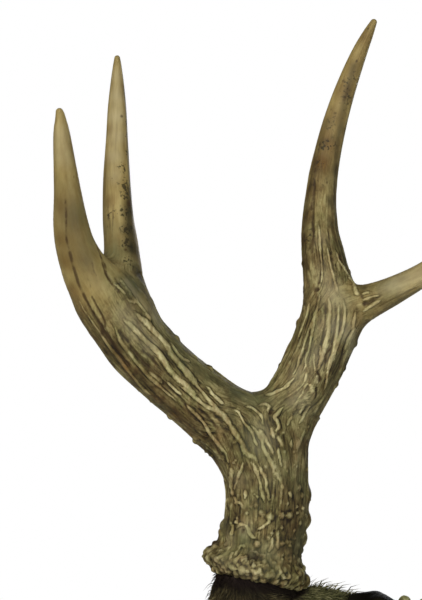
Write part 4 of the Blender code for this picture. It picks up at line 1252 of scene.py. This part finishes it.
def ridgedBone(paint, grain, crest):  # dark in the grooves, pale on the crests
    middle = 0.57 - boneLook["grain"] / 2
    strands = paint.spread(grain["strands"], 0.25, 0.75, middle, middle + boneLook["grain"])
    level = paint.maths("MULTIPLY_ADD", crest, boneLook["depth"], strands)
    level = paint.maths("ADD", level, paint.spread(grain["grit"], 0.2, 0.8, -0.12, 0.12))
    level = paint.maths("ADD", level, paint.spread(grain["blotches"], 0.3, 0.7, -0.1, 0.1))
    drawn = paint.maths("ADD", paint.read("crisp"), paint.spread(grain["grit"], 0.2, 0.8, -0.13, 0.13))
    core = paint.spread(drawn, 0.38, 0.62)
    # a painted shadow line beside each drawn ridge
    shadeBeside = paint.maths("SUBTRACT", paint.spread(drawn, 0.1, 0.4), core)
    dashes = paint.spread(grain["dashes"], 0.54, 0.66)
    dashes = paint.maths("MULTIPLY", dashes, paint.spread(core, 0.0, 1.0, 1.0, 0.5))
    paler, darker, _ = boneLook["crisp"]
    for part, amount in ((dashes, -boneLook["dash"]), (core, paler), (shadeBeside, -darker)):
        level = paint.maths("MULTIPLY_ADD", part, amount, level)
    return paint.ramp(level, boneLook["ridged"]), core


def smoothBone(paint, grain, crest):
    strands = paint.maths("MULTIPLY", grain["strands"], 0.2)
    level = paint.maths("MULTIPLY_ADD", grain["blotches"], 0.8, strands)
    level = paint.maths("ADD", level, paint.maths("MULTIPLY_ADD", crest, 0.25, 0.02))
    return paint.ramp(level, boneLook["smooth"])


def paintBone():
    paint = Paint("weatheredAntler", gloss=0.35)
    place, crest, grain = paint.place(), paint.read("crest"), boneGrain(paint)
    ridged, core = ridgedBone(paint, grain, crest)
    ridgedShare = paint.spread(paint.read("rough"), 0.12, 0.6)
    colour = paint.mix(ridgedShare, smoothBone(paint, grain, crest), ridged)
    mottled = paint.spread(ridgedShare, 0.0, 1.0, 0.15, 1.0)
    for size, tint, most in boneLook["mottles"]:
        patches = paint.noise(paint.stretch(place, (1.0, 1.0, 0.6)), 1 / size / mm, 2.0, 0.6, 0.5)
        share = paint.maths("MULTIPLY", paint.spread(patches, 0.46, 0.6, 0.0, most), mottled)
        colour = paint.mix(share, colour, tone(*tint), "MULTIPLY")
    uneven = paint.spread(grain["blotches"], 0.3, 0.6, 0.65, 1.0)
    for key, tint, blend, most in boneLook["tints"]:
        share = paint.maths("MULTIPLY", paint.maths("MULTIPLY", paint.read(key), uneven), most)
        colour = paint.mix(share, colour, tone(*tint), blend)
    speck = paint.read("speck")
    dots = paint.maths("MULTIPLY_ADD", speck, 0.2, paint.noise(place, 640.0, 1.5, 0.5))
    dots = paint.spread(dots, 0.65, 0.72)
    dots = paint.maths("MULTIPLY", dots, paint.spread(speck, 0.1, 0.6, 0.0, 0.85))
    colour = paint.mix(dots, colour, tone(*boneLook["speck"]))
    patchy = paint.spread(grain["grit"], 0.3, 0.65, 0.6, 1.0)
    for key, low, high in (("stain", 0.12, 0.62), ("groove", 0.0, 1.0)):
        share = paint.spread(paint.maths("MULTIPLY", paint.read(key), patchy), low, high, 0.0, 0.85)
        colour = paint.mix(share, colour, tone(*boneLook[key]))
    paint.colour(colour)
    worn = paint.maths("ADD", ridgedShare, grain["grit"])
    paint.rough(paint.spread(worn, 0.3, 1.3, *boneLook["roughness"]))
    fine = paint.maths("MULTIPLY_ADD", grain["strands"], 0.6, grain["grit"])
    rise = boneLook["crisp"][2] / boneLook["pitting"]
    paint.bump(paint.maths("MULTIPLY_ADD", core, rise, fine), boneLook["pitting"])
    return paint


bonePoints, boneMarks = growRelief()
boneMarks["fibre"] = np.column_stack([bone["fibres"], bone["grown"]])
bonePiece = makeMesh("antler", bonePoints, boneFaces, boneMarks)
paintBone().wear(bonePiece)
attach(bonePiece, "root")
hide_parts(*antler["nodes"])
print("antler carved:", sum(len(face) - 2 for face in boneFaces), "triangles")


# the hide: a skin, its fur, a bare folded flap and two dried knobs

hide = {
    "forms": [  # round limbs from burrAt that melt together
        [(2, 33, -52, 25), (20, 33, -57, 29), (42, 33, -59, 31), (64, 33, -56, 28), (82, 33, -51, 21)],
        [(2, 4, -42, 26), (20, 3, -47, 29), (42, 3, -49, 30), (62, 3, -46, 26), (79, 5, -38, 16)],
        [(2, 4, -40, 25), (1, 1, -20, 20.5)],
        [(80, 6, -36, 15), (82, -5, -21, 9.5)],
        [(86, 22, -42, 13), (93, -3, -23, 9)],
        [(20, 0, -16, 10), (33, -1, -10.3, 9.8), (48, -2, -13, 9.5), (58, -2, -16, 9)],
        [(66, -18, -14, 6), (66, 2, -12.5, 6), (64, 16, -17.5, 7)],
    ],
    "ridges": [  # round ridges laid along the top: the mound beside the burr, and under the flap
        [(14, 2, -20, 11), (22, 0, -15.5, 9.5), (30, -1, -12.2, 9.3), (40, -2, -13.2, 9),
         (50, -2, -16, 9), (60, -2, -20, 9)],
        [(62, -10, -21, 8), (66, 0, -20, 8), (64, 14, -23, 9)],
        [(50, 6, -30, 16), (66, 4, -31, 15), (78, 5, -34, 13)],
    ],
    "melt": 3.2,
    "origin": (0.0, -20.3, 71.0),  # rays that find its surface start here
    "underBurr": 30.0,  # within this of the antler's middle it stays below the burr
    "furDepth": 1.9,  # how far the skin lies under the solid
    "skinGrid": (150, 46),  # points round the cap, and rows of them
    "collar": [(0, 21.2), (2, 21.4), (6, 21.8), (12, 22.4), (20, 23.6), (28, 24.4)],  # depth, radius
    "collarColumns": 96,
    "intoBurr": 1.5,  # how far the collar rises past the burr's rim
    "ridgeColumns": 32,
    "voxel": 1.15,  # the mesh size at which the forms are melted into one
    "furBack": -22.5,  # no fur behind this y, where the plaque begins
    "coats": {  # hairs, seed, share of the length, lift in degrees, share of the width
        "furUnder": (21000, 21, 0.7, (8, 26), 1.0),
        "furOver": (21000, 22, 0.9, (4, 17), 1.0),
        "strayHairs": (110, 23, 1.25, (30, 70), 1.4),
    },
    "hairLength": (5.0, 9.0),
    "hairWidth": 0.42,
    "combed": ((0.9, 0.1, -0.55), (0.0, 0.25, -1.0)),  # near the top, and lower down
    "brown": [(0.1, (26, 22, 12)), (0.5, (56, 49, 30)), (0.8, (100, 90, 58)), (1.0, (150, 138, 98))],
    "olive": [(0.1, (40, 40, 22)), (0.45, (92, 92, 56)), (0.75, (136, 132, 88)), (1.0, (176, 168, 126))],
    "shaded": (26, 11, 10),  # painted shadow under the burr
    "flapTop": [(51.7, -5.3), (65.6, -3.6), (77.2, -8.9)],  # its upper edge from burrAt, x and z
    "flapSweep": (41, 66),  # degrees round the cap
    "flapReach": (14, 60),  # degrees from the wall towards the viewer
    "flapRaised": (0.8, 2.9),  # its two faces, above the cap
    "flapColumns": 70,
    "flapTints": [(0.3, (8, 7, 3)), (0.55, (19, 17, 9)), (0.8, (40, 36, 21))],
    "knobs": {  # x, y, z from burrAt, and radius
        "hide_knob_inner": (81.8, -9, -10.2, 3.6),
        "hide_knob_outer": (93.0, -5, -12.0, 3.8),
    },
    "knobTints": [(0.25, (52, 50, 26)), (0.5, (126, 124, 78)), (0.75, (172, 168, 118))],
}
hidePaths = [pathFromBurr(stations) for stations in hide["forms"]]
burrFoot, burrUp = centreAt(skeleton["base"], 0), alongAt(skeleton["base"], 0)


def hideLevel(points):  # 0 on the cap, which stops short of the burr
    above = (points - burrFoot) @ burrUp + 0.3
    sideways = points - burrFoot - ((points - burrFoot) @ burrUp)[:, None] * burrUp
    clear = hide["underBurr"] - np.linalg.norm(sideways, axis=1)
    return np.maximum(melted(points, hidePaths, hide["melt"]), np.minimum(above, clear))


def hideSurface(sweep, reach, raised):  # where rays from its middle leave the cap
    flat = np.column_stack([np.cos(sweep), np.zeros(len(sweep)), np.sin(sweep)])
    rays = np.cos(reach)[:, None] * flat + np.sin(reach)[:, None] * towardsViewer
    origins = np.repeat(np.array([hide["origin"]]), len(rays), axis=0)
    return castOut(hideLevel, origins, rays, 0.0, raised, 18)


def gridFaces(rows, columns, first=0, closed=False):
    faces = []
    for r in range(rows - 1):
        for c in range(columns if closed else columns - 1):
            a, b = r * columns + c, r * columns + (c + 1) % columns
            faces.append([first + a, first + b, first + b + columns, first + a + columns])
    return faces


def tubeFaces(rows, columns, first):  # a tube with a flat face on each end
    last = first + (rows - 1) * columns
    ends = [list(range(first, first + columns))[::-1], list(range(last, last + columns))]
    return gridFaces(rows, columns, first, closed=True) + ends


def faceOutward(piece):
    mesh = bmesh.new()
    mesh.from_mesh(piece.data)
    bmesh.ops.recalc_face_normals(mesh, faces=mesh.faces)
    mesh.to_mesh(piece.data)
    mesh.free()


def roundEnd(middle, radius, along, degrees):  # one ring of a limb's round end
    angle = math.radians(degrees)
    return middle + radius * math.sin(angle) * along, along, radius * math.cos(angle)


def ridgeRings(path):  # rings round a path, closed in at both ends
    along = unit(np.gradient(path[:, :3], axis=0))
    stations = [roundEnd(path[0, :3], path[0, 3], along[0], lift) for lift in (-75, -50, -25)]
    stations += [(row[:3], way, row[3]) for row, way in zip(path, along)]
    stations += [roundEnd(path[-1, :3], path[-1, 3], along[-1], lift) for lift in (25, 50, 75)]
    turns = np.arange(hide["ridgeColumns"])[:, None] * math.tau / hide["ridgeColumns"]
    rings = []
    for middle, way, radius in stations:
        side = unit(np.cross(way, (0, 0, 1)))
        rings.append(middle + radius * (np.cos(turns) * side + np.sin(turns) * np.cross(side, way)))
    return np.array(rings)


def collarRings():  # the hide drawn up round the antler's foot
    turns = np.arange(hide["collarColumns"]) * math.tau / hide["collarColumns"]
    side = unit(np.cross(towardsViewer, burrUp))
    ring = np.cos(turns)[:, None] * np.cross(burrUp, side) + np.sin(turns)[:, None] * side
    rings = []
    for depth, radius in hide["collar"]:
        rise = (rimHeight(turns) + hide["intoBurr"]) * max(0.0, 1 - depth / 8) - depth
        rings.append(burrFoot + rise[:, None] * burrUp + radius * ring)
    return np.array(rings)


def growSkin():
    columns, rows = hide["skinGrid"]
    sweep = np.tile(-np.arange(columns) * math.tau / columns, rows)
    reach = np.repeat(np.radians(np.linspace(0, 89, rows)), columns)
    cap = hideSurface(sweep, reach, -hide["furDepth"]).reshape(rows, columns, 3)
    tubes = [cap, collarRings()]
    tubes += [ridgeRings(pathFromBurr(stations, 4)) for stations in hide["ridges"]]
    faces = []
    count = 0
    for tube in tubes:
        faces += tubeFaces(*tube.shape[:2], count)
        count += tube.shape[0] * tube.shape[1]
    rough = makeMesh("skinForm", np.vstack([tube.reshape(-1, 3) for tube in tubes]), faces)
    faceOutward(rough)
    melt = rough.modifiers.new("melt", "REMESH")
    melt.mode = "VOXEL"
    melt.voxel_size = hide["voxel"] * mm
    calm = rough.modifiers.new("calm", "SMOOTH")
    calm.iterations = 8
    evaluated = rough.evaluated_get(bpy.context.evaluated_depsgraph_get())
    data = bpy.data.meshes.new_from_object(evaluated)
    points = np.zeros(len(data.vertices) * 3, np.float32)
    data.vertices.foreach_get("co", points)
    points = points.reshape(-1, 3).astype(float) / mm
    faces = [list(face.vertices) for face in data.polygons]
    bpy.data.objects.remove(rough)
    normals = outwardNormals(points, faces)
    lumps = 0.5 * noiseAt(points / 9, 4.0) + 0.25 * noiseAt(points / 3.5, 8.0)
    points = points + normals * (lumps - 0.2)[:, None]
    return points, faces, outwardNormals(points, faces)


def hideTints(points):  # olive on the mound, and painted shadow close under the burr
    over = (points - burrFoot) @ burrUp
    sideways = points - burrFoot - over[:, None] * burrUp
    _, front, side = frameAt(skeleton["base"], 0)
    below = rimHeight(np.arctan2(sideways @ side, sideways @ front)) - over
    shade = between(-below, -7.5, -3) * between(-np.linalg.norm(sideways, axis=1), -29, -25)
    x, z = points[:, 0], points[:, 2]
    mound = between(x, -16, -4) * between(z, 92, 108) * between(-x, -34, -22)
    return {"mound": mound, "shade": shade}


def underFlap(points):  # where the flap lies and no hair grows
    rays = points - hide["origin"]
    sweep = np.degrees(np.arctan2(rays[:, 2], rays[:, 0]))
    reach = np.degrees(np.arctan2(-rays[:, 1], np.hypot(rays[:, 0], rays[:, 2])))
    (right, left), (back, front) = hide["flapSweep"], hide["flapReach"]
    return (sweep > right + 1) & (sweep < left - 1) & (reach > back + 1) & (reach < front - 1)


def hairRoots(skinForm, where, count, random):  # spread evenly, with the skin's slope at each
    points, faces, normals = skinForm
    quads = np.array([face for face in faces if len(face) == 4])
    corners = points[quads]
    across = np.cross(corners[:, 2] - corners[:, 0], corners[:, 3] - corners[:, 1])
    middle = corners.mean(axis=1)
    size = np.linalg.norm(across, axis=1) * (middle[:, 1] < hide["furBack"]) * ~underFlap(middle)
    size = size * where(middle)
    picked = random.choice(len(quads), count, p=size / size.sum())
    u, v = random.random((2, count, 1))
    a, b, c, d = (corners[picked, k] for k in range(4))
    roots = (1 - v) * ((1 - u) * a + u * b) + v * ((1 - u) * d + u * c)
    return roots, unit(normals[quads[picked]].mean(axis=1))


def combedWay(roots, normal, random):  # how the hairs lie along the skin
    upper, lower = np.array(hide["combed"])
    comb = lower + between(roots[:, 2], 84, 108)[:, None] * (upper - lower)
    comb[:, 0] += 0.012 * (roots[:, 0] - 5)
    swirl = np.column_stack([noiseAt(roots / 16, 5.0 + 20 * k) for k in range(3)])
    comb = comb + 0.8 * swirl + 0.16 * random.normal(size=roots.shape)
    return unit(comb - (comb * normal).sum(axis=1)[:, None] * normal)


def growHairs(skinForm, where, count, seed, long, lift, thick):  # three-sided, bent at the knee
    random = np.random.default_rng(seed)
    roots, normal = hairRoots(skinForm, where, count, random)
    comb = combedWay(roots, normal, random)
    angle = np.radians(random.uniform(*lift, count))[:, None]
    start = unit(np.cos(angle) * comb + np.sin(angle) * normal)
    length = random.uniform(*hide["hairLength"], count)[:, None] * long
    knee = roots + 0.5 * length * start
    tip = knee + 0.5 * length * unit(start + unit(comb - 0.12 * normal))
    width = hide["hairWidth"] * random.uniform(0.7, 1.2, (count, 1)) * thick
    roots = roots - 0.4 * normal
    side = unit(np.cross(start, normal))
    up = np.cross(side, start)
    rows = []
    for spot, wide in ((roots, width), (knee, 0.8 * width)):
        for turn in map(math.radians, (0, 120, 240)):
            rows.append(spot + 0.5 * wide * (math.cos(turn) * side + math.sin(turn) * up))
    rows.append(tip)
    spots = np.stack(rows, axis=1).reshape(-1, 3)
    one = [[0, 1, 4, 3], [1, 2, 5, 4], [2, 0, 3, 5], [3, 4, 6], [4, 5, 6], [5, 3, 6]]
    faces = [[k + 7 * hair for k in face] for hair in range(count) for face in one]
    along = np.tile([0, 0, 0, 0.5, 0.5, 0.5, 1.0], count)
    strand = np.repeat(random.random(count), 7)
    tints = {key: np.repeat(values, 7) for key, values in hideTints(roots).items()}
    return spots, faces, {"along": along, "strand": strand, **tints}


def allOver(middle):
    return np.ones(len(middle))


def straySpots(middle):  # on the mound beside the burr, and a few at the left
    x, y, z = middle.T
    mound = (x > -8) & (x < 26) & (z > 111) & (y < -50)
    left = (x < -51) & (z > 112)
    return 1.0 * mound + 0.2 * left


def paintFur(name, isSkin):
    paint = Paint(name, roughness=0.75, gloss=0.25)
    place = paint.place()
    patch = paint.noise(place, 55.0, 3.0)
    fleck = paint.noise(paint.stretch(place, (1.0, 1.0, 0.3)), 900.0, 2.0)
    if isSkin:
        level = paint.maths("MULTIPLY_ADD", fleck, 0.5, paint.maths("MULTIPLY", patch, 0.5))
        paint.bump(fleck, 0.0005)
    else:
        tips = paint.maths("MULTIPLY", paint.read("along"), 0.3)
        level = paint.maths("MULTIPLY_ADD", paint.read("strand"), 0.65, tips)
        level = paint.maths("ADD", level, paint.spread(patch, 0.35, 0.65, -0.1, 0.25))
    brown, olive = paint.ramp(level, hide["brown"]), paint.ramp(level, hide["olive"])
    colour = paint.mix(paint.read("mound"), brown, olive)
    # painted shadow close under the burr
    shade = paint.maths("MULTIPLY", paint.read("shade"), 0.9)
    paint.colour(paint.mix(shade, colour, tone(*hide["shaded"])))
    return paint


def addHide():
    points, faces, normals = growSkin()
    skinPiece = makeMesh("hideSkin", points, faces, hideTints(points))
    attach(skinPiece, "root")
    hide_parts("hide_cap")
    paintFur("hideSkin", True).wear(skinPiece)
    fur = paintFur("deerFur", False)
    for name, (count, seed, long, lift, thick) in hide["coats"].items():
        where = straySpots if name == "strayHairs" else allOver
        hairs = growHairs((points, faces, normals), where, count, seed, long, lift, thick)
        coat = makeMesh(name, *hairs)
        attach(coat, "root")
        fur.wear(coat)
    print("hide grown:", len(faces), "skin faces")


def flapForm():  # two sheets that meet at the edge, the upper one creased
    count = hide["flapColumns"]
    sweep, reach = (np.radians(np.linspace(*hide[key], count)) for key in ("flapSweep", "flapReach"))
    sweep, reach = (values.ravel() for values in np.meshgrid(sweep, reach))
    steps = np.linspace(-1, 1, count)
    across, down = (values.ravel() for values in np.meshgrid(steps, steps))
    low, high = hide["flapRaised"]
    under = hideSurface(sweep, reach, low)
    over = hideSurface(sweep, reach, high)
    burrX, _, burrZ = antler["burrAt"]
    topX, topZ = np.transpose(hide["flapTop"])
    for sheet, depth in ((under, high - low), (over, 0.0)):
        top = burrZ - depth + np.interp(sheet[:, 0] - burrX, topX, topZ)
        sheet[:, 2] = np.minimum(sheet[:, 2], top)
    away = unit(over - under)
    edge = np.clip(1 - np.maximum(np.abs(across), np.abs(down)), 0, 1)
    creases = 0.45 * noiseAt(np.column_stack([across * 1.6, down * 0.7, edge * 0]) * 1.4, 2.0)
    creases += 0.22 * noiseAt(np.column_stack([across * 5, down * 2.5, edge * 0]), 12.0)
    thin = np.minimum(1, (edge + 0.02) / 0.1) ** 0.5
    thick = (high - low) * thin + (creases - 0.3) * np.minimum(1, edge / 0.1)
    over = under + away * thick[:, None]
    size = count * count
    faces = gridFaces(count, count, size)
    faces += [face[::-1] for face in gridFaces(count, count)]
    rim = list(range(count)) + [r * count + count - 1 for r in range(1, count)]
    rim += [size - 1 - c for c in range(1, count)] + [r * count for r in range(count - 2, 0, -1)]
    faces += [[a, b, b + size, a + size] for a, b in zip(rim, rim[1:] + rim[:1])]
    return np.vstack([under, over]), faces


def paintFlap():
    paint = Paint("bareHide", roughness=0.9, gloss=0.05)
    place = paint.place()
    grain, patch = paint.noise(place, 700.0, 4.0), paint.noise(place, 90.0, 3.0)
    level = paint.maths("MULTIPLY_ADD", patch, 0.7, paint.maths("MULTIPLY", grain, 0.3))
    paint.colour(paint.ramp(level, hide["flapTints"]))
    paint.rough(paint.spread(grain, 0.3, 0.7, 0.7, 0.9))
    paint.bump(grain, 0.0004)
    return paint


def addFlap():
    flap = makeMesh("foldedFlap", *flapForm())
    faceOutward(flap)
    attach(flap, "root")
    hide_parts("hide_flap")
    paintFlap().wear(flap)


def paintKnobs():
    paint = Paint("driedHide", gloss=0.35)
    place = paint.place()
    grain, patch = paint.noise(place, 900.0, 4.0), paint.noise(place, 260.0, 3.0)
    level = paint.maths("MULTIPLY_ADD", patch, 0.7, paint.maths("MULTIPLY", grain, 0.3))
    level = paint.maths("ADD", level, paint.maths("MULTIPLY", paint.read("bumps"), 0.5))
    paint.colour(paint.ramp(level, hide["knobTints"]))
    paint.bump(grain, 0.0003)
    return paint


def addKnobs():
    paint = paintKnobs()
    for node, (x, y, z, radius) in hide["knobs"].items():
        mesh = bmesh.new()
        bmesh.ops.create_icosphere(mesh, subdivisions=5, radius=1.0)
        shape = np.array([vert.co for vert in mesh.verts])
        faces = [[vert.index for vert in face.verts] for face in mesh.faces]
        mesh.free()
        bumps = 0.6 * noiseAt(shape * 1.6, x) + 0.55 * np.abs(noiseAt(shape * 4.2, x)) - 0.12
        centre = np.add(antler["burrAt"], (x, y, z))
        points = centre + radius * shape * (0.97 + 0.13 * bumps)[:, None]
        knob = makeMesh(node.replace("_", "."), points, faces, {"bumps": bumps})
        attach(knob, "root")
        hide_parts(node)
        paint.wear(knob)


addHide()
addFlap()
addKnobs()
print("flap and knobs made")


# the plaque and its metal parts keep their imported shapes

plaqueLook = {
    "walnut": [(0.2, (48, 27, 15)), (0.5, (84, 51, 29)), (0.75, (112, 72, 42)), (1.0, (140, 96, 60))],
    "rings": 6.0,  # how many bands the wood's figure is cut into
    "steel": [(0.3, (150, 150, 146)), (0.7, (196, 196, 192))],
    "fittings": [
        "keyhole_plate",
        "plate_screw_upper",
        "plate_screw_lower",
        "cap_screw_left",
        "cap_screw_right",
    ],
}


def paintWalnut():
    paint = Paint("oiledWalnut", roughness=0.42, gloss=0.45)
    place = paint.place()
    bent = paint.stretch(place, (1.0, 0.35, 0.07))
    rings = paint.noise(bent, 42.0, 3.0, 0.5, 1.1)
    bands = paint.maths("FRACT", paint.maths("MULTIPLY", rings, plaqueLook["rings"]))
    bands = paint.maths("ABSOLUTE", paint.maths("SUBTRACT", bands, 0.5))
    bands = paint.spread(bands, 0.0, 0.5, 0.0, 0.55)
    pores = paint.noise(paint.stretch(place, (1.0, 1.0, 0.035)), 1500.0, 3.0)
    figure = paint.noise(paint.stretch(place, (1.0, 1.0, 0.25)), 22.0, 2.0)
    level = paint.maths("ADD", bands, paint.maths("MULTIPLY", pores, 0.35))
    level = paint.maths("ADD", level, paint.maths("MULTIPLY", figure, 0.25))
    paint.colour(paint.ramp(level, plaqueLook["walnut"]))
    paint.rough(paint.spread(pores, 0.3, 0.7, 0.5, 0.36))
    paint.bump(pores, 0.00025)
    return paint


def paintSteel():
    paint = Paint("zincSteel", roughness=0.35, metal=1.0)
    place = paint.place()
    patch = paint.noise(place, 260.0, 3.0)
    brushed = paint.noise(paint.stretch(place, (1.0, 1.0, 0.06)), 2200.0, 2.0)
    paint.colour(paint.ramp(patch, plaqueLook["steel"]))
    paint.rough(paint.spread(paint.maths("ADD", patch, brushed), 0.7, 1.3, 0.26, 0.46))
    paint.bump(brushed, 0.00005)
    return paint


walnut, steel = paintWalnut(), paintSteel()
walnut.wear(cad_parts["plaque"])
for fitting in plaqueLook["fittings"]:
    steel.wear(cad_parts[fitting])
print("plaque and fittings finished")


# lights, floor and camera

light = {  # places and sizes in metres
    "skyShown": (1.0, 1.0, 1.0),
    "skyGlow": (0.88, 0.93, 1.0),
    "skyStrength": 0.13,
    "lamps": [  # name, place, size, watts, colour; all aim at the antler
        ("key", (-0.75, -1.95, 1.25), 0.5, 25.0, (1.0, 0.97, 0.9)),
        ("side", (-1.9, -0.95, 0.6), 0.7, 4.5, (1.0, 0.96, 0.88)),
        ("fill", (1.0, -1.9, 0.2), 0.9, 9.5, (0.96, 0.98, 1.0)),
        ("back", (0.5, 2.0, 0.7), 1.2, 12.0, (0.95, 0.97, 1.0)),
    ],
    "aim": (-0.05, -0.06, 0.26),
    "floorDrop": 0.45,
    "floorSize": 3.2,
    "floorTint": (0.82, 0.82, 0.8),
    "floorGlow": 0.5,
}


def addFloor():
    bpy.ops.mesh.primitive_plane_add(size=light["floorSize"], location=(0, 0, -light["floorDrop"]))
    floor = bpy.context.object
    floor.name = "floor"
    paint = bpy.data.materials.new("paleFloor")
    paint.use_nodes = True
    nodes, links = paint.node_tree.nodes, paint.node_tree.links
    shader = nodes["Principled BSDF"]
    shader.inputs["Base Color"].default_value = (*light["floorTint"], 1)
    shader.inputs["Roughness"].default_value = 0.8
    shader.inputs["Emission Color"].default_value = (1.0, 1.0, 1.0, 1)
    seen = nodes.new("ShaderNodeLightPath").outputs["Is Camera Ray"]  # it lights nothing else
    glow = nodes.new("ShaderNodeMath")
    glow.operation = "MULTIPLY"
    glow.inputs[1].default_value = light["floorGlow"]
    links.new(seen, glow.inputs[0])
    links.new(glow.outputs[0], shader.inputs["Emission Strength"])
    floor.data.materials.append(paint)


def addSky():  # the camera sees one sky and the antler is lit by another
    world = bpy.data.worlds.new("studio")
    world.use_nodes = True
    nodes, links = world.node_tree.nodes, world.node_tree.links
    nodes.clear()
    shown, glow = nodes.new("ShaderNodeBackground"), nodes.new("ShaderNodeBackground")
    shown.inputs["Color"].default_value = (*light["skyShown"], 1)
    glow.inputs["Color"].default_value = (*light["skyGlow"], 1)
    glow.inputs["Strength"].default_value = light["skyStrength"]
    mix, path = nodes.new("ShaderNodeMixShader"), nodes.new("ShaderNodeLightPath")
    out = nodes.new("ShaderNodeOutputWorld")
    links.new(path.outputs["Is Camera Ray"], mix.inputs["Fac"])
    links.new(glow.outputs[0], mix.inputs[1])
    links.new(shown.outputs[0], mix.inputs[2])
    links.new(mix.outputs[0], out.inputs["Surface"])
    bpy.context.scene.world = world


def addLamps():
    aim = Vector(light["aim"])
    for name, place, size, watts, colour in light["lamps"]:
        lamp = bpy.data.lights.new(name, "AREA")
        lamp.shape = "DISK"
        lamp.size = size
        lamp.energy = watts
        lamp.color = colour
        holder = bpy.data.objects.new(name, lamp)
        holder.location = place
        holder.rotation_euler = (aim - Vector(place)).to_track_quat("-Z", "Y").to_euler()
        bpy.context.scene.collection.objects.link(holder)


def addCamera():
    camera = bpy.data.cameras.new("camera")
    camera.sensor_fit = "VERTICAL"
    camera.sensor_height = view["sensor"]
    camera.lens = view["sensor"] * view["distance"] / (view["pixel"] * view["size"][1])
    holder = bpy.data.objects.new("camera", camera)
    holder.location = eyePoint * mm
    holder.rotation_euler = (math.radians(90), 0, 0)
    bpy.context.scene.collection.objects.link(holder)
    bpy.context.scene.camera = holder
    bpy.context.scene.view_settings.view_transform = "Standard"


addFloor()
addSky()
addLamps()
addCamera()
print("stage set")
